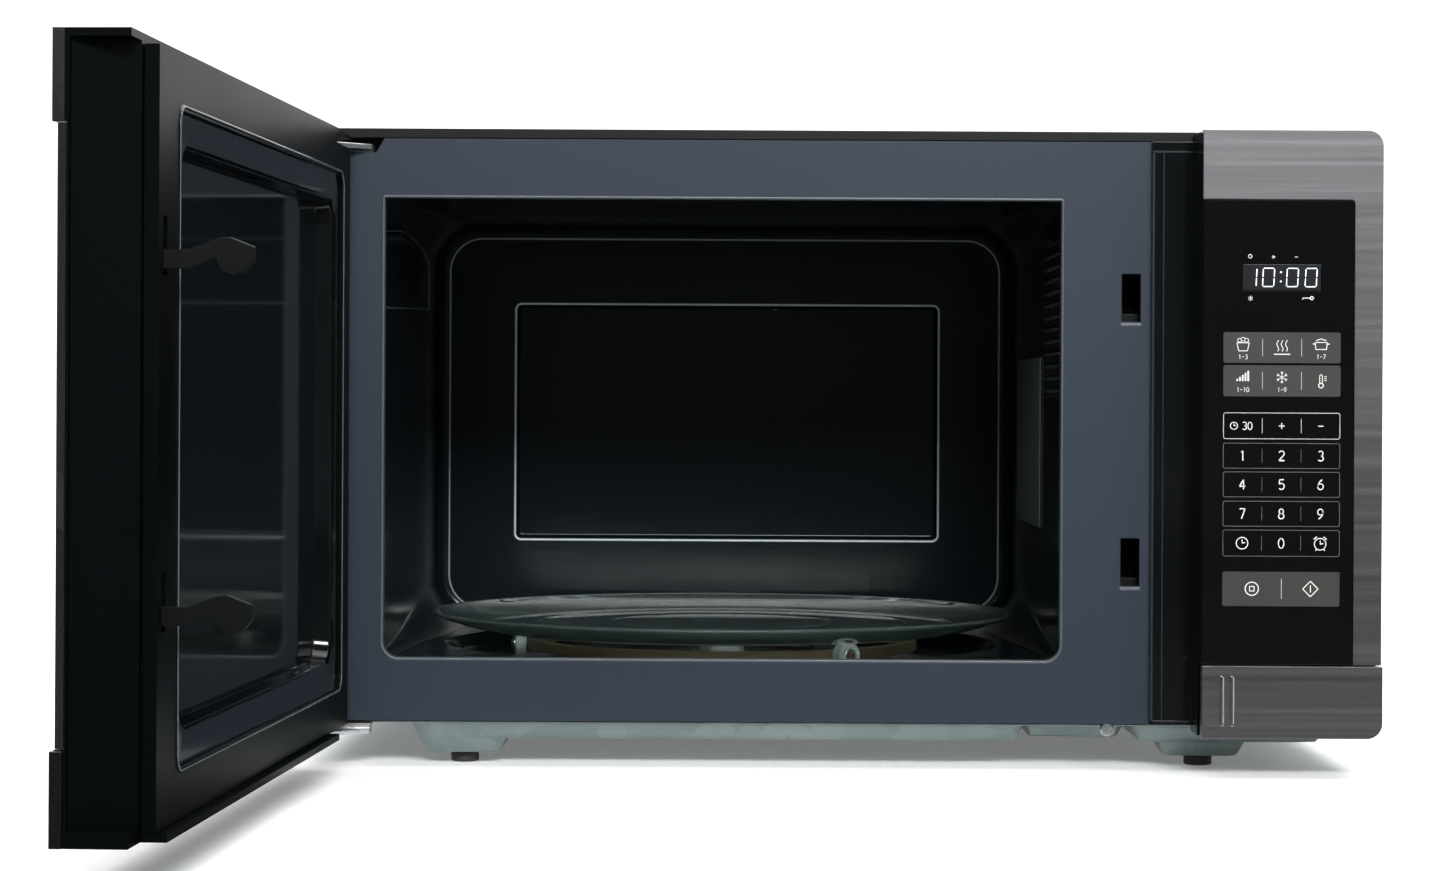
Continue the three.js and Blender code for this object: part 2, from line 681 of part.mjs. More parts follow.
function latchBracket() {
  const wall = block([bracketX, 3, bracketBottom], [bracketX + 3, 54, bracketTop]);
  const foot = block([bracketX, 3, bracketBottom], [bracketX + 18, 5, bracketTop]);
  const openings = switchLevels.map((z) => block([bracketX - 1, 22, z + 5], [bracketX + 4, 40, z + 11]));
  const catches = [upperHookFoot, lowerHookFoot].map((hook) =>
    block([hookX - 5, 9, hook - 8], [bracketX + 1, 17.5, hook - 2.6]),
  );
  return joined([cutBy(wall.add(foot), openings), ...catches]);
}

/** A microswitch with its plunger, on the latch bracket's right side. */
function doorSwitch(z) {
  const body = block([bracketX + 3 + fitGap, 14, z], [bracketX + 13, 42, z + switchHeight]);
  const plunger = block([bracketX + 6, 11.5, z + 6], [bracketX + 10, 15, z + 10]);
  return body.add(plunger);
}

// ---------------------------------------------------------------- hinges

/** A hinge: a leaf round the pin, and a flange that is fixed to the chassis. */
function hingeLeafPlate(z) {
  const leaf = polygon([
    [pinX - 4.8, pinY - 2],
    [pinX - 2.5, pinY - 5.5],
    [pinX + 2.5, pinY - 5.5],
    [pinX + 7, pinY - 1],
    [pinX + leafReach, -1],
    [pinX + leafReach, 12],
    [pinX - 4.8, 12],
  ]);
  return floorPanel(leaf, z, z + hingeLeaf);
}

function upperHinge() {
  const flange = block([pinX - 4.8, 4, upperLeafZ - 22], [pinX + leafReach, 6.2, upperLeafZ + 1]);
  const pin = rod("z", [pinX, pinY, upperLeafZ], doorTop - 1.2 - upperLeafZ, pinRadius, 24);
  return joined([hingeLeafPlate(upperLeafZ), flange, pin]);
}

function lowerHinge() {
  const step = block([pinX - 4.8, 3, lowerLeafZ], [pinX + leafReach, 5.2, panLevel - sheet - fitGap]);
  const foot = block([pinX - 4.8, 3, panLevel - sheet - fitGap - 1.6], [pinX + leafReach, 34, panLevel - sheet - fitGap]);
  const pin = rod("z", [pinX, pinY, lowerLeafZ], 0.5 + hingeLeaf + doorWall - 1, pinRadius, 24);
  return joined([hingeLeafPlate(lowerLeafZ), step, foot, pin]);
}

// ---------------------------------------------------------------- control panel

const displayLeft = panelLeft + 18.95;
const displayRight = displayLeft + 38.3;
const displayTop = bandBottom - 30.9;
const displayBottom = displayTop - 12.9;
const bayBack = doorFace + 13; // back of the bay that the release button moves in
const plungerX = panelLeft + 29.35;
const plungerZ = panelBottom + 17.5;
const plungerRadius = 4;
const leverPivotY = -9;
const leverPivotZ = plungerZ + 24;
const leverAxle = 2.4;

/** The panel's plastic body: a shell that is open at the back, with a bay for the release button. */
function panelHousing() {
  const corner = panelCornerRadius;
  const front = doorFace + trimThickness + fitGap;
  const back = -fitGap;
  const outline = roundedRectangle(panelLeft, panelBottom, sideX, panelTop, [0, corner, corner, 0]);
  const body = frontPanel(outline, front, back);
  const upperHollow = block(
    [panelLeft + panelWall, front + panelWall, buttonTop + buttonGap + panelWall],
    [sideX - panelWall, back + 1, panelTop - panelWall],
  );
  const lowerHollow = block(
    [panelLeft + panelWall, bayBack + panelWall, panelBottom + panelWall],
    [sideX - panelWall, back + 1, buttonTop + buttonGap + panelWall + 1],
  );
  const bay = block([panelLeft - 1, front - 1, panelBottom - 1], [sideX + 1, bayBack, buttonTop + buttonGap]);
  const plungerHole = rod("y", [plungerX, bayBack - 1, plungerZ], 6, plungerRadius + 0.6, 24);
  const displayHole = block(
    [displayLeft - 0.6, front - 1, displayBottom - 0.6],
    [displayRight + 0.6, front + panelWall + 1, displayTop + 0.6],
  );
  const flange = block([flangeLeft, back - flangeThickness, frontPlateBottom], [panelLeft + 1, back, panelTop - 3.5]);
  const ears = [plungerX - 17, plungerX + 14].map((x) =>
    block([x, bayBack + 1, buttonTop - 8], [x + 3, leverPivotY + 5, leverPivotZ + 5]),
  );
  const earBores = rod("x", [plungerX - 20, leverPivotY, leverPivotZ], 40, leverAxle + 0.3, 24);
  const shell = cutBy(body, [upperHollow, lowerHollow, bay, plungerHole, displayHole]);
  return cutBy(joined([shell, flange, ...ears]), [earBores]);
}

/** The brushed trim: a band across the top and a strip down the right side. */
function panelTrim() {
  const corner = panelCornerRadius;
  const outer = roundedRectangle(panelLeft, buttonTop + buttonGap, sideX, panelTop, [0, 0, corner, 0]);
  const inner = roundedRectangle(
    panelLeft - 2,
    buttonTop - 2,
    sideX - sideStripWidth,
    bandBottom,
    [0, 0, 2, 0],
  );
  const back = doorFace + trimThickness;
  return cutBy(frontPanel(outer, doorFace, back), [frontPanel(inner, doorFace - 1, back + 1)]);
}

/** The black glass over the keys, with a hole for the display's window. */
function panelGlass() {
  const outline = roundedRectangle(
    panelLeft + fitGap,
    buttonTop + buttonGap + fitGap,
    sideX - sideStripWidth - fitGap,
    bandBottom - fitGap,
    [0, 0, 1.7, 0],
  );
  const back = doorFace + trimThickness;
  const hole = block([displayLeft, doorFace - 1, displayBottom], [displayRight, back + 1, displayTop]);
  return cutBy(frontPanel(outline, doorFace + fitGap, back), [hole]);
}

function displayWindow() {
  return block(
    [displayLeft + fitGap, doorFace + fitGap, displayBottom + fitGap],
    [displayRight - fitGap, doorFace + trimThickness, displayTop - fitGap],
  );
}

function displayModule() {
  const front = doorFace + trimThickness + 2 * fitGap + panelWall;
  return block([displayLeft - 4, front, displayBottom - 5], [displayRight + 4, front + 8, displayTop + 5]);
}

function controlBoard() {
  return block([panelLeft + 6, -20.5, leverPivotZ + 14], [sideX - 6, -18.9, panelTop - 12]);
}

/** The release button: a hollow cap with a plunger that reaches through the bay's back wall. */
function releaseButton() {
  const front = doorFace - 0.6;
  const left = panelLeft + 0.6;
  const corner = panelCornerRadius;
  const cap = frontPanel(
    roundedRectangle(left, panelBottom, sideX + 0.6, buttonTop, [0, corner, 0, 0]),
    front,
    front + buttonThickness,
  );
  const hollow = block(
    [left + 2, front + 2, panelBottom + 2],
    [sideX - 6, front + buttonThickness + 1, buttonTop - 2],
  );
  const grooves = [0, 1].map((groove) =>
    block(
      [left + 8.4 + groove * 4.9, front - 1, panelBottom + 6],
      [left + 10.4 + groove * 4.9, front + 0.6, buttonTop - 4.5],
    ),
  );
  const plunger = rod("y", [plungerX, front + 1, plungerZ], leverPivotY - 3 - front - 1, plungerRadius, 24);
  return cutBy(cap, [hollow, ...grooves]).add(plunger);
}

/** The lever that the button's plunger turns, with its own axle along X. */
function releaseLever() {
  const blade = sidePanel(
    polygon([
      [leverPivotY - 1.5, plungerZ - 7],
      [leverPivotY + 1.5, plungerZ - 7],
      [leverPivotY + 3.5, leverPivotZ],
      [leverPivotY + 1.5, leverPivotZ + 11],
      [leverPivotY - 1.5, leverPivotZ + 11],
      [leverPivotY - 3.5, leverPivotZ],
    ]),
    plungerX - 7,
    plungerX + 7,
  );
  const axle = rod("x", [plungerX - 17.5, leverPivotY, leverPivotZ], 35, leverAxle, 24);
  return blade.add(axle);
}

// ---------------------------------------------------------------- door, in its closed place

const gripTop = doorTop - 3;
const gripBottom = doorBottom + 6;
const gripDepthX = 2.6; // what is left of the door's edge at the bottom of the grip

/** Room for the upper hinge's leaf at every angle of the door. */
const hingeRoom = () =>
  block([doorLeft - 1, frameWallBack + 0.4, upperLeafZ - 1], [pinX + 36, 1, upperLeafZ + hingeLeaf + 1]);

/** The wedge that is left open along the door's free edge, as a finger grip. */
function gripWedge(inset) {
  return floorPanel(
    polygon([
      [plateauRight - inset, plateauFace + 2],
      [doorRight + 2, plateauFace + 2],
      [doorRight + 2, frameWallFront + 1],
      [doorRight - gripDepthX - inset, frameWallFront + 1],
      [plateauRight - inset, plateauFace],
    ]),
    gripBottom,
    gripTop,
  );
}

/** The door's plastic frame: a tray that is open to the inside, with a window and the grip. */
function doorFrame() {
  const body = block([doorLeft, frameFront, doorBottom], [doorRight, rimFace, doorTop]);
  const glassRecess = block(
    [doorLeft - 1, frameFront - 1, buttonTop + buttonGap - fitGap],
    [doorRight + 1, frameWallFront, bandBottom + fitGap],
  );
  const hollow = floorPanel(
    polygon([
      [doorLeft + doorWall, frameWallBack],
      [doorRight - gripDepthX - 4.6, frameWallBack],
      [plateauRight - 1, rimFace + 1],
      [doorLeft + doorWall, rimFace + 1],
    ]),
    doorBottom + doorWall,
    doorTop - doorWall,
  );
  const view = block(
    [windowLeft + viewInset, frameFront - 1, windowBottom + viewInset],
    [windowRight - viewInset, rimFace, windowTop - viewInset],
  );
  const upperBore = rod("z", [pinX, pinY, doorTop - doorWall - 1], doorWall + 0.5, pinRadius + pinClearance, 24);
  const lowerBore = rod("z", [pinX, pinY, doorBottom - 1], doorWall + 2, pinRadius + pinClearance, 24);
  const lip = block([pinX + 45, rimFace - 2, doorBottom], [plateauRight, 3.2, plateauBottom - fitGap]);
  const tray = cutBy(body, [glassRecess, hollow, view, gripWedge(0), hingeRoom(), upperBore, lowerBore]);
  return tray.add(lip);
}

function doorGlass() {
  const edge = fitGap;
  return block(
    [doorLeft, glassFront, buttonTop + buttonGap],
    [doorRight, glassBack, bandBottom - edge],
  );
}

/** A brushed band on the door's face, wrapped round its free edge. */
function doorBand(bottom, top) {
  const face = block([doorLeft, doorFace, bottom], [doorRight + 1, doorFace + trimThickness, top]);
  const wrap = block([doorRight + fitGap, doorFace, bottom], [doorRight + 1, doorFace + 4.5, top]);
  return face.add(wrap);
}

/** The choke cover: a plastic ring that stands off the rim and frames the inner window. */
function chokeCover() {
  const rimBack = rimFace + fitGap;
  const innerBack = -11;
  const plate = block([plateauLeft, rimBack, plateauBottom], [plateauRight, plateauFace, plateauTop]);
  const thinning = block(
    [plateauLeft + 2, rimBack - 1, plateauBottom + 2],
    [plateauRight - 3, plateauFace - 2.2, plateauTop - 2],
  );
  const skirt = block(
    [windowLeft - 2, innerBack, windowBottom - 2],
    [windowRight + 2, plateauFace, windowTop + 2],
  );
  const opening = frontPanel(
    roundedRectangle(windowLeft, windowBottom, windowRight, windowTop, [7, 7, 7, 7]),
    innerBack - 1,
    1,
  );
  const slots = [upperHookFoot, lowerHookFoot].map((foot) =>
    block([hookX - 3.4, rimBack - 1, foot - 2], [hookX + 3.4, 1, foot + 20]),
  );
  return cutBy(joined([cutBy(plate, [thinning]), skirt]), [opening, hingeRoom(), ...slots]);
}

function innerWindow() {
  return block([windowLeft - 1.7, -12.4, windowBottom - 1.7], [windowRight + 1.7, -11 - fitGap, windowTop + 1.7]);
}

/** The door's metal panel, with its folded choke and the opening for the perforated screen. */
function doorMetalPanel() {
  const left = plateauLeft + 8;
  const right = hookX - 9;
  const bottom = plateauBottom + 4;
  const top = upperLeafZ - 4;
  const panel = block([left, -14.6, bottom], [right, -13.4, top]);
  const fold = block([left, -14.6, bottom], [right, -7.6, top]);
  const foldHollow = block([left + 1.2, -13.5, bottom + 1.2], [right - 1.2, -7, top - 1.2]);
  const view = block(
    [windowLeft + viewInset - 2, -16, windowBottom + viewInset - 2],
    [windowRight - viewInset + 2, -12, windowTop - viewInset + 2],
  );
  return cutBy(panel.add(cutBy(fold, [foldHollow])), [view]);
}

function screenMesh() {
  return block(
    [windowLeft + viewInset - 6, -15.5, windowBottom + viewInset - 6],
    [windowRight - viewInset + 6, -14.9, windowTop - viewInset + 6],
  );
}

/** The latch bar: one sliding bar inside the door that carries both hooks. */
function latchBar() {
  const bar = block([hookX - 3, -13.5, lowerHookFoot - 4], [hookX + 4, -7.6, upperHookFoot + 18]);
  const hooks = [upperHookFoot, lowerHookFoot].map((foot) => {
    const tip = plateauFace + hookReach;
    const outline = polygon([
      [-9, foot],
      [8, foot + 0.5],
      [tip - 14, foot + 4.2],
      [tip - 12, foot - 0.6],
      [tip - 8, foot - 2],
      [tip - 3, foot - 0.6],
      [tip, foot + 3],
      [tip, foot + 8.5],
      [tip - 9, foot + 12],
      [tip - 13, foot + 11.5],
      [8, foot + hookArmHeight],
      [-9, foot + hookArmHeight],
    ]);
    return sidePanel(outline, hookX - hookWidth / 2, hookX + hookWidth / 2);
  });
  return joined([bar, ...hooks]);
}

/** A coil spring about Z, as a tube along a helix. */
class Coil extends THREE.Curve {
  constructor(radius, rise, turns) {
    super();
    this.radius = radius;
    this.rise = rise;
    this.turns = turns;
  }
  getPoint(t, target = new THREE.Vector3()) {
    const angle = 2 * Math.PI * this.turns * t;
    return target.set(this.radius * Math.cos(angle), this.radius * Math.sin(angle), this.rise * t);
  }
}

const springLength = 17;

function latchSpring() {
  const wire = new THREE.Shape().absarc(0, 0, 0.5, 0, 2 * Math.PI);
  const geometry = new THREE.ExtrudeGeometry(wire, {
    steps: 56,
    curveSegments: 3,
    extrudePath: new Coil(2.4, springLength, 6),
  });
  return solid(geometry.translate(hookX, -10.5, upperHookFoot + 18 + 1));
}

// ---------------------------------------------------------------- assembly

const cabinet = new THREE.Group();
addPiece(cabinet, "outer_cabinet", outerCabinet(), blackSheet);
addPiece(cabinet, "rear_panel", rearPanel(), galvanised);
addPiece(cabinet, "front_plate", frontPlate(), greyEnamel);
addPiece(cabinet, "base_pan", basePan(), galvanised);
footCentres().forEach(([name, x, y]) => addPiece(cabinet, name, foot(x, y), rubber));
addPiece(cabinet, "cord_gland", cordGland(), blackPlastic);
[-1, 1].forEach((side) => {
  const hand = side < 0 ? "left" : "right";
  addPiece(cabinet, `rear_screw_upper_${hand}`, rearScrew(side * (sideX - screwInset), cabinetHeight - 24), brightSteel);
  addPiece(cabinet, `rear_screw_lower_${hand}`, rearScrew(side * (sideX - screwInset), 40), brightSteel);
});

addPiece(cabinet, "cavity_wrap", cavityWrap(), cavityPaint);
addPiece(cabinet, "cavity_floor", cavityFloor(), cavityPaint);
addPiece(cabinet, "cavity_back", cavityBackWall(), cavityPaint);
addPiece(cabinet, "waveguide_cover", waveguideCover(), micaSheet);
addPiece(cabinet, "waveguide", waveguide(), galvanised);
addPiece(cabinet, "magnetron", magnetron(), brightSteel);
addPiece(cabinet, "transformer_core", transformerCore(), coreSteel);
addPiece(cabinet, "primary_winding", transformerWinding(panLevel + 14), copperWire);
addPiece(cabinet, "secondary_winding", transformerWinding(panLevel + 40), copperWire);
addPiece(cabinet, "capacitor", capacitor(), brightSteel);
addPiece(cabinet, "fan_shroud", fanShroud(), blackPlastic);
addPiece(cabinet, "fan_motor", fanMotor(), coreSteel);
addPiece(cabinet, "noise_filter", noiseFilter(), boardGreen);
addPiece(cabinet, "lamp_holder", lampHolder(), whitePlastic);
addPiece(cabinet, "cavity_lamp", cavityLamp(), clearGlass);
addPiece(cabinet, "turntable_motor", turntableMotor(), brightSteel);
addPiece(cabinet, "latch_bracket", latchBracket(), blackPlastic);
switchLevels.forEach((z, index) => addPiece(cabinet, `door_switch_${index + 1}`, doorSwitch(z), whitePlastic));
addPiece(cabinet, "upper_hinge", upperHinge(), brightSteel);
addPiece(cabinet, "lower_hinge", lowerHinge(), brightSteel);

addPiece(cabinet, "panel_housing", panelHousing(), blackPlastic);
addPiece(cabinet, "panel_trim", panelTrim(), darkSteel);
addPiece(cabinet, "panel_glass", panelGlass(), glossBlack);
addPiece(cabinet, "display_window", displayWindow(), tintedGlass);
addPiece(cabinet, "display_module", displayModule(), blackPlastic);
addPiece(cabinet, "control_board", controlBoard(), boardGreen);
addPiece(cabinet, "release_button", releaseButton(), darkSteel);
addPiece(cabinet, "release_lever", releaseLever(), whitePlastic);

const fan = new THREE.Group();
fan.position.set(fanX, fanY, fanZ);
addPiece(fan, "fan_blade", fanBlade(), whitePlastic);

const turntable = new THREE.Group();
turntable.position.set(trayX, trayY, 0);
addPiece(turntable, "glass_tray", glassTray(), clearGlass);
addPiece(turntable, "drive_coupler", driveCoupler(), whitePlastic);
addPiece(turntable, "roller_ring", rollerRing(), tanPlastic);
for (let index = 0; index < rollerCount; index += 1) {
  const wheel = addPiece(turntable, `roller_${index + 1}`, roller(), whitePlastic);
  wheel.rotation.z = THREE.MathUtils.degToRad(rollerStartAngle + index * (360 / rollerCount));
}

// The door's pieces keep their closed places, and the two groups swing them about the hinge pins.
const closedDoor = new THREE.Group();
closedDoor.position.set(-pinX, -pinY, 0);
addPiece(closedDoor, "door_frame", doorFrame(), blackPlastic);
addPiece(closedDoor, "door_glass", doorGlass(), tintedGlass);
addPiece(closedDoor, "door_top_band", doorBand(bandBottom, doorTop), darkSteel);
addPiece(closedDoor, "door_bottom_band", doorBand(doorBottom, buttonTop), darkSteel);
addPiece(closedDoor, "choke_cover", chokeCover(), blackPlastic);
addPiece(closedDoor, "inner_window", innerWindow(), tintedGlass);
addPiece(closedDoor, "door_metal_panel", doorMetalPanel(), blackSheet);
addPiece(closedDoor, "screen_mesh", screenMesh(), blackSheet);
addPiece(closedDoor, "latch_bar", latchBar(), blackPlastic);
addPiece(closedDoor, "latch_spring", latchSpring(), brightSteel);

const door = new THREE.Group();
door.position.set(pinX, pinY, 0);
door.rotation.z = -THREE.MathUtils.degToRad(doorOpenAngle);
door.add(closedDoor);

const oven = new THREE.Group();
oven.add(cabinet, fan, turntable, door);

// The origin: the middle of the bounding box's base.
const bounds = new THREE.Box3().setFromObject(oven, true);
const middle = bounds.getCenter(new THREE.Vector3());
oven.position.set(-middle.x, -middle.y, -bounds.min.z);

export default oven;
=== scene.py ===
"""Countertop microwave oven: the finished look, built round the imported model.

Lengths in the functions below are millimetres in the cabinet's own frame, as a maker would draw it:
x = 0 on the middle plane, y = 0 on the front plate's face, z = 0 on the worktop. Door pieces are drawn
with the door closed. row_frame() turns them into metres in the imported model's frame, and swings the
door's pieces open. The studio's own places are metres in that frame.
"""
import json
import math

import bmesh
import bpy
from mathutils import Matrix, Vector


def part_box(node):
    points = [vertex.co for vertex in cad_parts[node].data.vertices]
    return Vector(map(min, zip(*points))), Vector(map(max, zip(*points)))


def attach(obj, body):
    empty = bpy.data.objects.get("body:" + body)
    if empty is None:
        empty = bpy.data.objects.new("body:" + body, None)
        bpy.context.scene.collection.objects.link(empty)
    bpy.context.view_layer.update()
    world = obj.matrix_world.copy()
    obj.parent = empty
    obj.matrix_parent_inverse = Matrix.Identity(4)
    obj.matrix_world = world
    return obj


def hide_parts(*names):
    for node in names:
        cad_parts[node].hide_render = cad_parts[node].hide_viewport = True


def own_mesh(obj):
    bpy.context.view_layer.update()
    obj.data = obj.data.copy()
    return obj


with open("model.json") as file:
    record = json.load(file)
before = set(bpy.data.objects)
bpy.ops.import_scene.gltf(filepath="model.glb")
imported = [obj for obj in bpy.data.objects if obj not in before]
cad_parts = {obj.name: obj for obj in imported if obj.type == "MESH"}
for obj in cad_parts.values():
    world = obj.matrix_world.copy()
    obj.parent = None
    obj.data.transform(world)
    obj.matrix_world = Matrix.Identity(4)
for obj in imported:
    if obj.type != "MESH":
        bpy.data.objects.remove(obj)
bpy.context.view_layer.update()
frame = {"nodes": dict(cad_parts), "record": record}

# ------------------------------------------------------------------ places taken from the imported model

MM = 0.001
NODES = frame["nodes"]
JOINTS = {joint["name"]: joint for joint in frame["record"]["behaviour"]["joints"]}


def corners(node):
    """A node's lowest and highest corner in the cabinet's frame, in millimetres."""
    low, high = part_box(node)
    return (Vector(low) - ORIGIN) / MM, (Vector(high) - ORIGIN) / MM


cabinet_low, cabinet_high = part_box("outer_cabinet")
ORIGIN = Vector(((cabinet_low[0] + cabinet_high[0]) / 2, cabinet_low[1], 0.0))

hinge = JOINTS["door_hinge"]
OPEN_ANGLE = math.radians(-hinge["range_deg"][0])
HINGE_PIN = Vector(hinge["pos_m"])
SWING = (
    Matrix.Translation(HINGE_PIN)
    @ Matrix.Rotation(OPEN_ANGLE, 4, Vector(hinge["axis"]))
    @ Matrix.Translation(-HINGE_PIN)
)

SIDE = (cabinet_high[0] - cabinet_low[0]) / 2 / MM
FACE = -35.0  # front of the panel and of the closed door
PANEL_LEFT = corners("panel_trim")[0].x
PANEL_BAND_BOTTOM = corners("door_top_band")[0].z
BUTTON_TOP = corners("release_button")[1].z
OPENING = (-223.2, 52.4, 112.4, 281.2)  # of the front plate: left, bottom, right, top
CAVITY_LEFT = corners("cavity_floor")[0].x - 0.3
CAVITY_RIGHT = corners("cavity_floor")[1].x + 0.3
CAVITY_BACK = corners("cavity_floor")[1].y
CAVITY_FLOOR = corners("cavity_floor")[1].z
CAVITY_ROOF = corners("cavity_wrap")[1].z - 0.8
TRAY_CENTRE = Vector(
    ((CAVITY_LEFT + CAVITY_RIGHT) / 2, (corners("cavity_floor")[0].y + CAVITY_BACK) / 2, 0)
)
RECESS_FLOOR = corners("roller_1")[0].z


def row_frame(point, on_door=False):
    """A point in cabinet millimetres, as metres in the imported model's frame at rest."""
    place = Vector(point) * MM + ORIGIN
    return SWING @ place if on_door else place


# ------------------------------------------------------------------ shader groups


def new_group(name, inputs, outputs):
    """An empty shader group with float inputs {name: default} (Vector has none) and named outputs."""
    group = bpy.data.node_groups.new(name, "ShaderNodeTree")
    for label, default in inputs.items():
        kind = "NodeSocketVector" if default is None else "NodeSocketFloat"
        socket = group.interface.new_socket(label, in_out="INPUT", socket_type=kind)
        if default is not None:
            socket.default_value = default
    for label, kind in outputs.items():
        group.interface.new_socket(label, in_out="OUTPUT", socket_type=kind)
    return group, group.nodes.new("NodeGroupInput"), group.nodes.new("NodeGroupOutput")


def plug(tree, node, values):
    """Fills a node's inputs: each value is a plain setting, or the output that feeds it."""
    for key, value in values.items():
        if isinstance(value, bpy.types.NodeSocket):
            tree.links.new(value, node.inputs[key])
        else:
            node.inputs[key].default_value = value
    return node


def add_node(tree, kind, values=None, **settings):
    """A new node with its own settings, and with its inputs filled by plug()."""
    node = tree.nodes.new(kind)
    for key, value in settings.items():
        setattr(node, key, value)
    return plug(tree, node, values or {})


def spread(tree, source, low, high):
    """Maps 0..1 onto low..high; low and high are numbers or sockets."""
    values = {"Value": source, "To Min": low, "To Max": high}
    return add_node(tree, "ShaderNodeMapRange", values).outputs["Result"]


def grain_group():
    """Brushed grain: long fine streaks along the vector's x axis, with slow waves of tone."""
    group, given, out = new_group(
        "brushed grain",
        {"Vector": None, "Fineness": 900.0, "Streak": 14.0, "Height": 1.0},
        {"Streaks": "NodeSocketFloat", "Waves": "NodeSocketFloat", "Height": "NodeSocketFloat"},
    )
    vector, fineness = given.outputs["Vector"], given.outputs["Fineness"]
    stretch = {"X": given.outputs["Streak"], "Y": fineness, "Z": fineness}
    scale = add_node(group, "ShaderNodeCombineXYZ", stretch)
    stretched = add_node(
        group, "ShaderNodeVectorMath", {0: vector, 1: scale.outputs["Vector"]}, operation="MULTIPLY"
    ).outputs["Vector"]
    fine = add_node(
        group, "ShaderNodeTexNoise", {"Vector": stretched, "Scale": 1.0, "Detail": 3.0, "Roughness": 0.7}
    ).outputs["Fac"]
    broad = add_node(group, "ShaderNodeTexNoise", {"Vector": stretched, "Scale": 0.22, "Detail": 2.0})
    height = add_node(group, "ShaderNodeMath", {0: fine, 1: given.outputs["Height"]}, operation="MULTIPLY")
    plug(group, out, {"Streaks": fine, "Waves": broad.outputs["Fac"], "Height": height.outputs["Value"]})
    return group


def skin_group():
    """A moulded, painted or enamelled skin: fine relief, and a slow change of gloss."""
    group, given, out = new_group(
        "surface skin",
        {"Vector": None, "Relief size": 900.0, "Patch size": 9.0, "Gloss low": 0.3, "Gloss high": 0.4},
        {"Height": "NodeSocketFloat", "Roughness": "NodeSocketFloat", "Patches": "NodeSocketFloat"},
    )
    vector = given.outputs["Vector"]
    fine = {"Vector": vector, "Scale": given.outputs["Relief size"], "Detail": 4.0, "Roughness": 0.6}
    slow = {"Vector": vector, "Scale": given.outputs["Patch size"], "Detail": 5.0}
    slow.update({"Roughness": 0.55, "Distortion": 0.4})
    height = add_node(group, "ShaderNodeTexNoise", fine).outputs["Fac"]
    patches = add_node(group, "ShaderNodeTexNoise", slow).outputs["Fac"]
    gloss = spread(group, patches, given.outputs["Gloss low"], given.outputs["Gloss high"])
    plug(group, out, {"Height": height, "Roughness": gloss, "Patches": patches})
    return group


def spangle_group():
    """Zinc spangle: flat crystals of slightly different tone."""
    group, given, out = new_group(
        "zinc spangle",
        {"Vector": None, "Crystals": 90.0},
        {"Tone": "NodeSocketFloat", "Height": "NodeSocketFloat"},
    )
    values = {"Vector": given.outputs["Vector"], "Scale": given.outputs["Crystals"], "Randomness": 1.0}
    cells = add_node(group, "ShaderNodeTexVoronoi", values)
    split = add_node(group, "ShaderNodeSeparateColor", {"Color": cells.outputs["Color"]})
    plug(group, out, {"Tone": split.outputs["Red"], "Height": cells.outputs["Distance"]})
    return group


GRAIN = grain_group()
SKIN = skin_group()
SPANGLE = spangle_group()

# ------------------------------------------------------------------ materials


def new_material(name, **uniform):
    """A material and its Principled shader, with uniform values on the shader's own sockets."""
    material = bpy.data.materials.new(name)
    material.use_nodes = True
    tree = material.node_tree
    shader = tree.nodes["Principled BSDF"]
    for key, value in uniform.items():
        label = key.replace("_", " ")
        shader.inputs[label].default_value = value
    return material, tree, shader


def place_group(tree, group, values, turn=(0, 0, 0)):
    """The outputs of a group that is fed by Object coordinates, turned by the given degrees."""
    coordinates = add_node(tree, "ShaderNodeTexCoord").outputs["Object"]
    rotation = [math.radians(angle) for angle in turn]
    mapping = add_node(tree, "ShaderNodeMapping", {"Vector": coordinates, "Rotation": rotation})
    values = dict(values, Vector=mapping.outputs["Vector"])
    return add_node(tree, "ShaderNodeGroup", values, node_tree=group).outputs


def tint(tree, fraction, low, high):
    """A colour that runs from low to high."""
    colours = {"Factor": fraction, "A": (*low, 1), "B": (*high, 1)}
    return add_node(tree, "ShaderNodeMix", colours, data_type="RGBA").outputs["Result"]


def relief(tree, shader, height, depth):
    """Bump of a given depth in millimetres."""
    bump = add_node(tree, "ShaderNodeBump", {"Strength": 1.0, "Distance": depth * MM, "Height": height})
    plug(tree, shader, {"Normal": bump.outputs["Normal"]})


def skinned(name, low, high, gloss, relief_size=900, depth=0.02, patch=9, **uniform):
    """A paint, enamel, plastic or rubber: a tone that drifts, a changing gloss and a fine relief."""
    material, tree, shader = new_material(name, **uniform)
    values = {"Relief size": relief_size, "Patch size": patch, "Gloss low": gloss[0], "Gloss high": gloss[1]}
    skin = place_group(tree, SKIN, values)
    colour = tint(tree, skin["Patches"], low, high)
    plug(tree, shader, {"Base Color": colour, "Roughness": skin["Roughness"]})
    relief(tree, shader, skin["Height"], depth)
    return material


def brushed(name, low, high, gloss=(0.24, 0.42), turn=(0, 0, 0), depth=0.012, streak=10):
    """Brushed stainless steel with its grain along x, turned by the given degrees."""
    material, tree, shader = new_material(name, Metallic=1.0, Anisotropic=0.55)
    grain = place_group(tree, GRAIN, {"Fineness": 1500, "Streak": streak, "Height": 1.0}, turn)
    colour = tint(tree, grain["Streaks"], low, high)
    plug(tree, shader, {"Base Color": colour, "Roughness": spread(tree, grain["Waves"], *gloss)})
    relief(tree, shader, grain["Height"], depth)
    return material


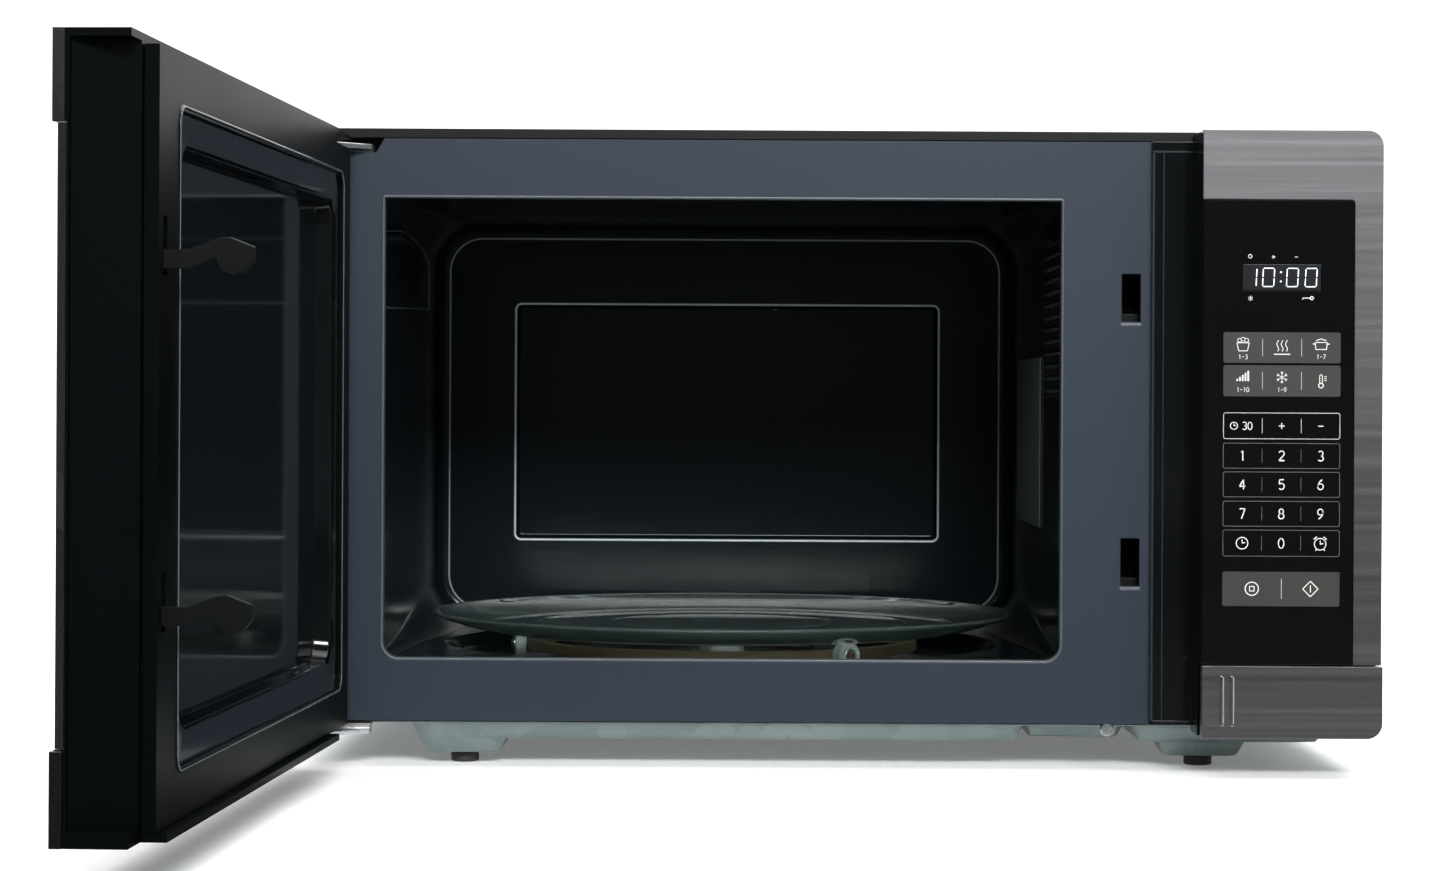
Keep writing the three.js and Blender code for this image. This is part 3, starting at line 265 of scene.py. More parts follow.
def zinc_plated(name, low, high, crystals=90):
    """Galvanised sheet."""
    material, tree, shader = new_material(name, Metallic=0.9)
    spangle = place_group(tree, SPANGLE, {"Crystals": crystals})
    colour = tint(tree, spangle["Tone"], low, high)
    plug(tree, shader, {"Base Color": colour, "Roughness": spread(tree, spangle["Tone"], 0.28, 0.46)})
    relief(tree, shader, spangle["Height"], 0.01)
    return material


def clear_glass(name, colour, gloss, transmission, ior=1.5):
    """Glass with faint handling marks in its gloss."""
    material, tree, shader = new_material(name, IOR=ior, Transmission_Weight=transmission)
    skin = place_group(tree, SKIN, {"Patch size": 14, "Gloss low": gloss[0], "Gloss high": gloss[1]})
    plug(tree, shader, {"Base Color": (*colour, 1), "Roughness": skin["Roughness"]})
    return material


def printed(name, colour, roughness=0.45, glow=0.0):
    """Printing ink with a slightly uneven lay-down, or a lit display segment."""
    low = tuple(0.88 * channel for channel in colour)
    material = skinned(name, low, colour, (roughness - 0.05, roughness + 0.05), 2500, 0.004, 60)
    if glow:
        tree = material.node_tree
        light = {"Emission Color": (*colour, 1), "Emission Strength": glow}
        plug(tree, tree.nodes["Principled BSDF"], light)
    return material


def paint_edge_highlight(material, attribute, colour):
    """Lightens a skinned material where the piece's own attribute asks for it: a painted highlight along
    edges.
    """
    tree = material.node_tree
    shader = tree.nodes["Principled BSDF"]
    tone = shader.inputs["Base Color"].links[0].from_socket
    mask = add_node(tree, "ShaderNodeAttribute", attribute_name=attribute)
    colours = {"Factor": mask.outputs["Fac"], "A": tone, "B": (*colour, 1)}
    mix = add_node(tree, "ShaderNodeMix", colours, data_type="RGBA")
    plug(tree, shader, {"Base Color": mix.outputs["Result"]})


DOOR_TURN = (0, 0, math.degrees(OPEN_ANGLE))

CABINET_PAINT = skinned(
    "cabinet powder paint", (0.004, 0.005, 0.006), (0.007, 0.008, 0.009), (0.38, 0.5), 1300, 0.03, IOR=1.22
)
FRONT_ENAMEL = skinned(
    "front plate enamel", (0.0165, 0.0235, 0.034), (0.019, 0.027, 0.039), (0.34, 0.42), 700, 0.012, 5,
    IOR=1.28,
)
CAVITY_ENAMEL = skinned(
    "cavity enamel", (0.0030, 0.0056, 0.0068), (0.0042, 0.0072, 0.0088), (0.12, 0.20), 500, 0.006, 7,
    IOR=1.3,
)
# Lighter enamel for beads, pressed lines, slot lips and dots: a painted highlight.
HIGHLIGHT_ENAMEL = skinned(
    "enamel with painted highlight", (0.050, 0.060, 0.070), (0.060, 0.072, 0.084), (0.28, 0.34), 700, 0.008, 5
)
LIP_HIGHLIGHT_ENAMEL = skinned("slot lip painted highlight", (0.07, 0.08, 0.09), (0.10, 0.112, 0.125), (0.26, 0.34), 700, 0.008, 3)
CHASSIS_ZINC = zinc_plated("galvanised chassis", (0.178, 0.226, 0.223), (0.238, 0.285, 0.281))
REAR_ZINC = zinc_plated("galvanised rear sheet", (0.27, 0.29, 0.295), (0.33, 0.35, 0.355), 110)
PANEL_STEEL = brushed("brushed panel steel", (0.215, 0.208, 0.217), (0.345, 0.336, 0.350))
DOOR_STEEL = brushed("brushed door steel", (0.215, 0.208, 0.217), (0.345, 0.336, 0.350), turn=DOOR_TURN)
SHADED_STEEL = brushed("dark steel edge", (0.045, 0.045, 0.049), (0.075, 0.075, 0.08), turn=DOOR_TURN)
PLATED_STEEL = brushed(
    "zinc plated steel", (0.58, 0.59, 0.60), (0.66, 0.67, 0.68), (0.24, 0.32), depth=0.004, streak=120
)
BLACK_MOULDING = skinned(
    "black moulding", (0.0022, 0.0028, 0.003), (0.0036, 0.0042, 0.0046), (0.3, 0.4), 1500, 0.02, IOR=1.22
)
DOOR_MOULDING = skinned(
    "door moulding", (0.0009, 0.0016, 0.0018), (0.0016, 0.0023, 0.0026), (0.32, 0.4), 900, 0.01, 6, IOR=1.12
)
DOOR_GLOSS = skinned(
    "door gloss moulding", (0.0012, 0.0018, 0.002), (0.002, 0.0026, 0.003), (0.08, 0.14), 900, 0.004,
    6, IOR=1.45,
)
# A light gloss for the window bead: a painted highlight.
BEAD_HIGHLIGHT_GLOSS = skinned("bead gloss painted highlight", (0.060, 0.072, 0.076), (0.075, 0.088, 0.092), (0.14, 0.2), 900, 0.003, 6)
# A lighter copy of the black gloss for the flange ribs: a painted highlight.
RIB_HIGHLIGHT_GLOSS = skinned(
    "gloss rib painted highlight", (0.012, 0.016, 0.018), (0.018, 0.022, 0.025), (0.16, 0.22), 900, 0.004, 6
)
PANEL_GLOSS = skinned(
    "keypad gloss", (0.002, 0.0022, 0.0024), (0.003, 0.0032, 0.0034), (0.08, 0.14), 300, 0.004, 8, IOR=1.2
)
DISPLAY_FILTER = skinned(
    "display filter", (0.010, 0.010, 0.011), (0.014, 0.014, 0.015), (0.1, 0.16), 300, 0.002
)
FOOT_RUBBER = skinned("foot rubber", (0.007, 0.007, 0.007), (0.014, 0.014, 0.013), (0.6, 0.75), 1800, 0.06)
WHITE_MOULDING = skinned("white moulding", (0.74, 0.73, 0.70), (0.84, 0.83, 0.80), (0.4, 0.5), 1200, 0.03)
RING_MOULDING = skinned(
    "roller ring moulding", (0.20, 0.130, 0.075), (0.27, 0.18, 0.11), (0.4, 0.5), 1200, 0.04
)
MICA = skinned("mica sheet", (0.08, 0.10, 0.09), (0.14, 0.165, 0.15), (0.45, 0.7), 160, 0.05, 40)
# The cavity enamel gets a painted highlight, nearly white, on the rings that the liner marks.
paint_edge_highlight(CAVITY_ENAMEL, "painted_edge_highlight", (0.62, 0.68, 0.72))
BOARD_MASK = skinned("solder mask", (0.02, 0.07, 0.03), (0.03, 0.10, 0.045), (0.3, 0.45), 400, 0.02)
CORE_VARNISH = skinned(
    "laminated core", (0.05, 0.055, 0.06), (0.10, 0.11, 0.12), (0.35, 0.5), 900, 0.05, Metallic=0.7
)
COPPER_WIRE = skinned(
    "enamelled wire", (0.33, 0.13, 0.05), (0.48, 0.22, 0.09), (0.25, 0.4), 700, 0.08, Metallic=0.9
)
DULL_CAN = brushed("drawn aluminium can", (0.085, 0.087, 0.09), (0.12, 0.122, 0.126), (0.5, 0.62))
ALUMINIUM_FINS = brushed("stamped aluminium", (0.60, 0.60, 0.61), (0.74, 0.74, 0.75), (0.3, 0.45))
SCREEN_STEEL = skinned("screen steel", (0.012, 0.012, 0.013), (0.02, 0.02, 0.022), (0.35, 0.45), 1500, 0.02)
HOLE_DARK = skinned("hole shadow", (0.0012, 0.0012, 0.0014), (0.002, 0.002, 0.002), (0.6, 0.8), 900, 0.01)
TRAY_GLASS = clear_glass("tray glass", (0.50, 0.66, 0.63), (0.0, 0.02), 0.93)
DOOR_GLASS = clear_glass("tinted door glass", (0.10, 0.11, 0.12), (0.0, 0.02), 0.9)
INNER_PANE = clear_glass("inner window film", (0.006, 0.008, 0.009), (0.05, 0.09), 0.3, ior=1.18)
LAMP_GLASS = clear_glass("lamp glass", (0.96, 0.93, 0.86), (0.1, 0.2), 0.8)
FRIT = printed("black frit", (0.003, 0.003, 0.004), 0.3)
KEY_GREY = skinned(
    "key field grey", (0.026, 0.0255, 0.0245), (0.032, 0.0315, 0.030), (0.34, 0.42), 2000, 0.004, 20,
    IOR=1.32,
)
KEY_INK = printed("key ink", (0.62, 0.62, 0.60))
KEY_LINE = printed("key outline ink", (0.34, 0.34, 0.34))
KEY_DARK_LINE = printed("dark outline ink", (0.048, 0.048, 0.048))
LIT_SEGMENT = printed("lit segment", (0.80, 0.88, 1.0), 0.4, glow=0.62)
# A light grey for strips along the grip grooves: a painted highlight.
GRIP_HIGHLIGHT = skinned("grip edge painted highlight", (0.22, 0.22, 0.23), (0.28, 0.28, 0.29), (0.2, 0.3), 900, 0.004)

# ------------------------------------------------------------------ making and finishing pieces


def settle(piece, finish, body, stands_for=(), smooth=35, weighted=True):
    """Gives a piece its material, its shading and its place in the frame."""
    piece.data.materials.clear()
    piece.data.materials.append(finish)
    piece.data.shade_smooth()
    piece.data.set_sharp_from_angle(angle=math.radians(smooth))
    if weighted:
        normals = piece.modifiers.new("even shading", "WEIGHTED_NORMAL")
        normals.keep_sharp = True
    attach(piece, body)
    if stands_for:
        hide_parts(*stands_for)
    return piece


def piece_from(bm, name):
    """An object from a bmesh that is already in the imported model's frame."""
    mesh = bpy.data.meshes.new(name)
    bm.to_mesh(mesh)
    bm.free()
    piece = bpy.data.objects.new(name, mesh)
    bpy.context.scene.collection.objects.link(piece)
    return piece


def drawn(bm, name, finish, body, on_door=False, bevel=0.0, segments=2, stands_for=(), smooth=35):
    """Finishes a bmesh that was drawn in cabinet millimetres."""
    for vertex in bm.verts:
        vertex.co = row_frame(vertex.co, on_door)
    bmesh.ops.recalc_face_normals(bm, faces=bm.faces)
    if bevel:
        round_edges(bm, bevel, segments)
    return settle(piece_from(bm, name), finish, body, stands_for, smooth)


def round_edges(bm, radius, segments=2, angle=28, keep=lambda edge: True):
    """Rounds the edges that turn by more than the angle; the radius is in millimetres."""
    sharp = [
        edge
        for edge in bm.edges
        if len(edge.link_faces) == 2 and edge.calc_face_angle(0) > math.radians(angle) and keep(edge)
    ]
    bmesh.ops.bevel(
        bm, geom=sharp, offset=radius * MM, segments=segments, profile=0.5, affect="EDGES", clamp_overlap=True
    )


def finished_node(node, finish, body, radius=0.3, segments=2, smooth=35, angle=28):
    """A CAD node's own shape, merged into clean faces and with its edges rounded."""
    bm = bmesh.new()
    bm.from_mesh(NODES[node].data)
    bmesh.ops.remove_doubles(bm, verts=bm.verts, dist=2e-6)
    bmesh.ops.dissolve_limit(bm, angle_limit=math.radians(1.5), verts=bm.verts, edges=bm.edges)
    if radius:
        round_edges(bm, radius, segments, angle)
    return settle(piece_from(bm, node + "_finished"), finish, body, (node,), smooth)


def rounded_loop(x0, z0, x1, z1, radii, per_corner=6):
    """Points of a rectangle with one radius, or four from the lower left corner round to the upper left."""
    if isinstance(radii, (int, float)):
        radii = [radii] * 4
    centres = [
        (x0 + radii[0], z0 + radii[0], 180),
        (x1 - radii[1], z0 + radii[1], 270),
        (x1 - radii[2], z1 - radii[2], 0),
        (x0 + radii[3], z1 - radii[3], 90),
    ]
    points = []
    for (x, z, start), radius in zip(centres, radii):
        for step in range(per_corner + 1):
            angle = math.radians(start + 90 * step / per_corner)
            points.append((x + radius * math.cos(angle), z + radius * math.sin(angle)))
    return points


def inset_box(box, inset):
    """A rectangle (left, bottom, right, top) with each side moved inwards."""
    left, bottom, right, top = box
    return left + inset, bottom + inset, right - inset, top - inset


def add_loop(bm, points, y):
    """A ring of vertices in the plane y."""
    return [bm.verts.new((x, y, z)) for x, z in points]


def bridge(bm, first, second, skip=()):
    """Quads between two rings with the same number of points."""
    count = len(first)
    for index in range(count):
        if index in skip:
            continue
        after = (index + 1) % count
        bm.faces.new((first[index], first[after], second[after], second[index]))


def close_rings(bm, rings):
    """Quads between neighbouring rings and from the last one back to the first: a closed tube."""
    for first, second in zip(rings, rings[1:] + rings[:1]):
        bridge(bm, first, second)


def add_frame(bm, outer, inner, y0, y1):
    """A flat frame between two outlines with the same number of points, from y0 to y1."""
    places = ((outer, y0), (inner, y0), (inner, y1), (outer, y1))
    close_rings(bm, [add_loop(bm, points, y) for points, y in places])


def add_prism(bm, points, y0, y1):
    """A closed plate with the given outline in x and z."""
    front, back = add_loop(bm, points, y0), add_loop(bm, points, y1)
    bridge(bm, front, back)
    bm.faces.new(front)
    bm.faces.new(list(reversed(back)))


def add_outline(bm, box, width, y0, y1, radius=1.0):
    """A thin rectangular line of constant width, as a closed ring."""
    outer = rounded_loop(*box, radius, 4)
    inner = rounded_loop(*inset_box(box, width), max(radius - width, 0.1), 4)
    add_frame(bm, outer, inner, y0, y1)


def add_turned(bm, profile, centre, sides=96, axis="z", closed=True):
    """A profile of (radius, height) points turned about an axis through the centre."""
    rings = []
    for radius, height in profile:
        ring = []
        for side in range(sides):
            angle = 2 * math.pi * side / sides
            a, b = radius * math.cos(angle), radius * math.sin(angle)
            offset = {"z": (a, b, height), "y": (a, height, b), "x": (height, a, b)}[axis]
            ring.append(bm.verts.new(Vector(centre) + Vector(offset)))
        rings.append(ring)
    for first, second in zip(rings, rings[1:]):
        bridge(bm, first, second)
    if closed:
        bm.faces.new(rings[0])
        bm.faces.new(list(reversed(rings[-1])))
    return rings


# ------------------------------------------------------------------ geometry nodes for what repeats


def new_tree(name, inputs):
    """An empty geometry tree: a geometry input, then {name: (kind of socket, default)}, and its output."""
    tree = bpy.data.node_groups.new(name, "GeometryNodeTree")
    tree.interface.new_socket("Geometry", in_out="INPUT", socket_type="NodeSocketGeometry")
    for label, (kind, default) in inputs.items():
        socket = tree.interface.new_socket(label, in_out="INPUT", socket_type="NodeSocket" + kind)
        if default is not None:
            socket.default_value = default
    tree.interface.new_socket("Geometry", in_out="OUTPUT", socket_type="NodeSocketGeometry")
    given, out = tree.nodes.new("NodeGroupInput"), tree.nodes.new("NodeGroupOutput")
    return tree, given.outputs, out


def worked_out(tree, operation, first, second):
    """The result of one Math node; first and second are numbers or sockets."""
    return add_node(tree, "ShaderNodeMath", {0: first, 1: second}, operation=operation).outputs[0]


def grid_points(tree, given, column_pitch, row_pitch):
    """The points of a centred grid with the tree's own numbers of columns and rows."""
    values = {}
    for axis, count, pitch in (("X", given["Columns"], column_pitch), ("Y", given["Rows"], row_pitch)):
        gaps = worked_out(tree, "SUBTRACT", count, 1.0)
        values["Size " + axis] = worked_out(tree, "MULTIPLY", gaps, pitch)
        values["Vertices " + axis] = count
    return add_node(tree, "GeometryNodeMeshGrid", values).outputs["Mesh"]


def copies(tree, points, shape, **values):
    """Real copies of a shape on points."""
    values = dict(values, Points=points, Instance=shape)
    placed = add_node(tree, "GeometryNodeInstanceOnPoints", values)
    real = add_node(tree, "GeometryNodeRealizeInstances", {"Geometry": placed.outputs["Instances"]})
    return real.outputs["Geometry"]


def coated(tree, geometry, material, **values):
    """The geometry with its material, or with one on the selected faces only."""
    values = dict(values, Geometry=geometry, Material=material)
    return add_node(tree, "GeometryNodeSetMaterial", values).outputs["Geometry"]


def pattern_tree():
    """Rows and columns of small round-ended studs on the plane z = 0, for holes, slots and dots."""
    inputs = {
        "Columns": ("Int", 5), "Rows": ("Int", 5),
        "Column pitch": ("Float", 0.006), "Row pitch": ("Float", 0.006),
        "Width": ("Float", 0.003), "Height": ("Float", 0.003), "Depth": ("Float", 0.0003),
        "Sides": ("Int", 10), "Material": ("Material", None),
    }
    tree, given, out = new_tree("rows of openings", inputs)
    points = grid_points(tree, given, given["Column pitch"], given["Row pitch"])
    disc = {"Radius": 0.5, "Vertices": given["Sides"], "Depth": given["Depth"]}
    stud = add_node(tree, "GeometryNodeMeshCylinder", disc).outputs["Mesh"]
    size = add_node(tree, "ShaderNodeCombineXYZ", {"X": given["Width"], "Y": given["Height"], "Z": 1.0})
    shaped = add_node(tree, "GeometryNodeTransform", {"Geometry": stud, "Scale": size.outputs["Vector"]})
    studs = copies(tree, points, shaped.outputs["Geometry"])
    plug(tree, out, {"Geometry": coated(tree, studs, given["Material"])})
    return tree


PATTERN = pattern_tree()


def screw_tree():
    """Pan heads with a cross recess that stand on the given points, each turned by its own amount."""
    inputs = {
        "Radius": ("Float", 0.0036), "Height": ("Float", 0.002), "Recess length": ("Float", 0.0026),
        "Recess width": ("Float", 0.0005), "Recess depth": ("Float", 0.0003), "Seed": ("Int", 3),
        "Material": ("Material", None), "Recess material": ("Material", None),
    }
    tree, given, out = new_tree("screw heads", inputs)
    ball = {"Segments": 32, "Rings": 16, "Radius": given["Radius"]}
    dome = add_node(tree, "GeometryNodeMeshUVSphere", ball)
    position = add_node(tree, "GeometryNodeInputPosition").outputs[0]
    parts = add_node(tree, "ShaderNodeSeparateXYZ", {0: position}).outputs
    seated = worked_out(tree, "MAXIMUM", parts["Z"], 0.0)
    flat_top = worked_out(tree, "MINIMUM", seated, given["Height"])
    capped = {"X": parts["X"], "Y": parts["Y"], "Z": flat_top}
    moved = add_node(tree, "ShaderNodeCombineXYZ", capped).outputs[0]
    head = add_node(tree, "GeometryNodeSetPosition", {"Geometry": dome.outputs["Mesh"], "Position": moved})
    whole = add_node(tree, "GeometryNodeJoinGeometry", {"Geometry": head.outputs["Geometry"]})
    lift = add_node(tree, "ShaderNodeCombineXYZ", {"Z": given["Height"]}).outputs[0]
    for long_side, short_side in (("X", "Y"), ("Y", "X")):
        sides = {long_side: given["Recess length"], short_side: given["Recess width"]}
        sides["Z"] = given["Recess depth"]
        size = add_node(tree, "ShaderNodeCombineXYZ", sides).outputs[0]
        arm = add_node(tree, "GeometryNodeMeshCube", {"Size": size}).outputs["Mesh"]
        raised = add_node(tree, "GeometryNodeTransform", {"Geometry": arm, "Translation": lift})
        mark = {"Geometry": raised.outputs["Geometry"], "Name": "recess", "Value": True}
        marked = add_node(tree, "GeometryNodeStoreNamedAttribute", mark, data_type="BOOLEAN", domain="FACE")
        plug(tree, whole, {"Geometry": marked.outputs["Geometry"]})
    quarter = {"Max": (0, 0, math.pi / 2), "Seed": given["Seed"]}
    turn = add_node(tree, "FunctionNodeRandomValue", quarter, data_type="FLOAT_VECTOR").outputs["Value"]
    heads = copies(tree, given["Geometry"], whole.outputs["Geometry"], Rotation=turn)
    recess = add_node(tree, "GeometryNodeInputNamedAttribute", {"Name": "recess"}, data_type="BOOLEAN")
    heads = coated(tree, heads, given["Material"])
    heads = coated(tree, heads, given["Recess material"], Selection=recess.outputs["Attribute"])
    plug(tree, out, {"Geometry": heads})
    return tree


SCREWS = screw_tree()


def pattern_mesh(tree, values, start):
    """Runs a geometry tree on a start mesh and returns its result as a plain mesh."""
    holder = bpy.data.objects.new(start.name, start)
    bpy.context.scene.collection.objects.link(holder)
    modifier = holder.modifiers.new("pattern", "NODES")
    modifier.node_group = tree
    identifiers = {item.name: item.identifier for item in tree.interface.items_tree if item.in_out == "INPUT"}
    for label, value in values.items():
        modifier[identifiers[label]] = value
    mesh = bpy.data.meshes.new_from_object(holder.evaluated_get(bpy.context.evaluated_depsgraph_get()))
    bpy.data.objects.remove(holder)
    return mesh


def rows_of_openings(name, centre, grid, pitch, size, sides, finish):
    """Openings in a side wall of the cavity; the grid, pitch and size run along the wall and then up it."""
    labels = ("Columns", "Rows", "Column pitch", "Row pitch", "Width", "Height", "Depth", "Sides", "Material")
    lengths = [length * MM for length in (*pitch, *size)]
    values = dict(zip(labels, (*grid, *lengths, sides, finish)))
    bm = bmesh.new()
    bm.from_mesh(pattern_mesh(PATTERN, values, bpy.data.meshes.new(name)))
    for vertex in bm.verts:
        along, up, out = vertex.co / MM
        vertex.co = row_frame(Vector(centre) + Vector((out, along, up)))
    bmesh.ops.recalc_face_normals(bm, faces=bm.faces)
    settle(piece_from(bm, name), finish, "cabinet", weighted=False)


# ------------------------------------------------------------------ cabinet


def cabinet_shell():
    """The outer cabinet, the rear sheet, the pan, the cord gland and the feet."""
    finished_node("outer_cabinet", CABINET_PAINT, "cabinet", 0.25)
    finished_node("rear_panel", REAR_ZINC, "cabinet", 0.2)
    base_pan()
    finished_node("cord_gland", BLACK_MOULDING, "cabinet", 0.5, 3)
    for corner in ("front_left", "front_right", "rear_left", "rear_right"):
        finished_node(corner + "_foot", FOOT_RUBBER, "cabinet", 0.9, 3)


FOOT_X, FRONT_FOOT_Y = (corners("front_right_foot")[0] + corners("front_right_foot")[1]).xy / 2
REAR_FOOT_Y = (corners("rear_right_foot")[0] + corners("rear_right_foot")[1]).y / 2


def pan_pressings():
    """Pressed areas of the base pan: left, front, right, back, depth and width of the drawn wall."""
    low, high = corners("base_pan")
    back, shallow, deep = corners("outer_cabinet")[1].y - 11, 8.4, high.z - low.z
    areas = [
        (-SIDE + 56.5, low.y + 1, SIDE - 166.5, back, shallow, 6),
        (SIDE - 168.5, low.y + 22, SIDE - 113.5, back, shallow, 6),
        (SIDE - 115.5, low.y + 1, SIDE - 16.5, back, shallow, 6),
    ]
    for x in (-FOOT_X, FOOT_X):
        for y in (FRONT_FOOT_Y, REAR_FOOT_Y):
            areas.append((x - 28, max(y - 23, low.y + 1), x + 28, y + 22, deep, 11))
    return areas


def pressed_depth(x, y, area):
    """How far one pressing has drawn the sheet down at a point, with rounded corners and shoulders."""
    left, front, right, back, depth, wall = area
    corner = wall + 4
    across = abs(x - (left + right) / 2) - (right - left) / 2 + corner
    along = abs(y - (front + back) / 2) - (back - front) / 2 + corner
    outside = math.hypot(max(across, 0), max(along, 0)) + min(max(across, along), 0) - corner
    share = min(max(-outside / wall, 0), 1)
    return depth * share * share * (3 - 2 * share)


def base_pan():
    """The galvanised pan: one sheet, pressed down in shallow fields and deeper under each foot."""
    low, high = corners("base_pan")
    sheet = 0.8
    top = high.z - sheet
    areas = pan_pressings()

    def lines(first, last, starts, ends):
        """Grid lines: a wide net, and close lines across each drawn wall."""
        places = {round(first + (last - first) * step / 16, 3) for step in range(17)}
        shares = [step / 8 for step in range(-1, 10)]
        places |= {round(edge + wall * share, 3) for edge, wall in starts for share in shares}
        places |= {round(edge - wall * share, 3) for edge, wall in ends for share in shares}
        return sorted({min(max(place, first), last) for place in places if first - 0.1 < place < last + 0.1})

    def pressed(x, y):
        """The height of the sheet at a point."""
        return top - max(pressed_depth(x, y, area) for area in areas) * 0.99

    columns = lines(low.x, high.x, [(a[0], a[5]) for a in areas], [(a[2], a[5]) for a in areas])
    rows = lines(low.y, high.y, [(a[1], a[5]) for a in areas], [(a[3], a[5]) for a in areas])
    bm = bmesh.new()
    net = [[bm.verts.new((x, y, pressed(x, y))) for x in columns] for y in rows]
    for row, next_row in zip(net, net[1:]):
        for index in range(len(columns) - 1):
            bm.faces.new((row[index], next_row[index], next_row[index + 1], row[index + 1]))
    for vertex in bm.verts:
        vertex.co = row_frame(vertex.co)
    pan = piece_from(bm, "base_pan_finished")
    wall = pan.modifiers.new("sheet thickness", "SOLIDIFY")
    wall.thickness = sheet * MM
    wall.offset = -1
    settle(pan, CHASSIS_ZINC, "cabinet", ("base_pan",), 50)
    bm = bmesh.new()
    add_prism(bm, rounded_loop(low.x, top, high.x, high.z + 5, 0.3, 2), high.y - 0.4, high.y + 1.2)
    drawn(bm, "pan_rear_flange", CHASSIS_ZINC, "cabinet")


def screw_heads(name, places, seat, outward, height, stands_for=()):
    """Pan-head screws at (x, z) places on the sheet whose face is at y = seat; outward is 1 to the rear."""
    recess = 0.3
    lengths = {
        "Radius": 3.6, "Height": height - recess / 2,
        "Recess length": 2.6, "Recess width": 0.5, "Recess depth": recess,
    }
    values = {label: length * MM for label, length in lengths.items()}
    values.update({"Seed": 5, "Material": PLATED_STEEL, "Recess material": HOLE_DARK})
    points = bpy.data.meshes.new(name)
    points.from_pydata([(x * MM, z * MM, 0) for x, z in places], [], [])
    bm = bmesh.new()
    bm.from_mesh(pattern_mesh(SCREWS, values, points))
    bmesh.ops.remove_doubles(bm, verts=bm.verts, dist=1e-7)
    for vertex in bm.verts:
        across, up, out = vertex.co / MM
        vertex.co = (across, seat + outward * out, up)
    piece = drawn(bm, name, PLATED_STEEL, "cabinet", stands_for=stands_for)
    piece.data.materials.append(HOLE_DARK)


def rear_screws():
    """The four screws that hold the rear sheet, as one piece."""
    nodes = [f"rear_screw_{level}_{hand}" for level in ("upper", "lower") for hand in ("left", "right")]
    boxes = [corners(node) for node in nodes]
    places = [((low.x + high.x) / 2, (low.z + high.z) / 2) for low, high in boxes]
    low, high = boxes[0]
    screw_heads("rear_screws", places, low.y, 1, high.y - low.y, stands_for=tuple(nodes))


def pan_screw():
    """The screw that holds the base pan to the front plate."""
    pan_front = corners("base_pan")[0].y
    screw_heads("pan_screw", [(135.3, 19.6)], pan_front + 0.4, -1, 1.8)


def latch_slot_sleeves():
    """A dark folded sleeve behind each latch slot, a dark end behind that, and a light ledge on the slot's
    lower lip: a painted highlight.
    """
    left, right = 140.9, 150.1
    lips = bmesh.new()
    for bottom, top in ((220.7, 244.1), (90.7, 114.1)):
        bm = bmesh.new()
        rings = []
        for grow, y in ((0.1, 1.1), (0.6, 1.1), (0.6, 9.0), (0.1, 9.0)):
            box = inset_box((left, bottom, right, top), -grow)
            rings.append(add_loop(bm, rounded_loop(*box, 0.4, 2), y))
        close_rings(bm, rings)
        drawn(bm, f"latch_slot_sleeve_{round(bottom)}", BLACK_MOULDING, "cabinet")
        bm = bmesh.new()
        add_prism(bm, rounded_loop(left - 4.4, bottom - 14, right + 4.4, top + 8, 1.0, 3), 40.0, 40.8)
        drawn(bm, f"latch_slot_end_{round(bottom)}", BLACK_MOULDING, "cabinet")
        # A lighter ledge under each slot: a painted highlight.
        add_prism(lips, rounded_loop(left - 0.5, bottom - 2.1, right + 0.5, bottom - 0.7, 0.5, 4), -0.3, 0.2)
    drawn(lips, "latch_slot_lips", LIP_HIGHLIGHT_ENAMEL, "cabinet", bevel=0.2)


def front_plate():
    """The enamelled front plate, with the rolled bead round its opening, whose lighter enamel is a painted
    highlight.
    """
    finished_node("front_plate", FRONT_ENAMEL, "cabinet", 0.32, 3)
    profile = [
        (0.0, 0.9), (-0.15, 0.1), (0.2, -0.28), (0.75, -0.38),
        (1.2, -0.1), (1.35, 0.5), (1.35, 6.0), (0.6, 6.0),
    ]
    bm = bmesh.new()
    rings = []
    for inset, y in profile:
        radii = [max(radius - inset, 0.5) for radius in (9, 9, 1.8, 1.8)]
        rings.append(add_loop(bm, rounded_loop(*inset_box(OPENING, inset), radii, 10), y))
    close_rings(bm, rings)
    drawn(bm, "opening_bead", HIGHLIGHT_ENAMEL, "cabinet", smooth=60)
    latch_slot_sleeves()
    pan_screw()


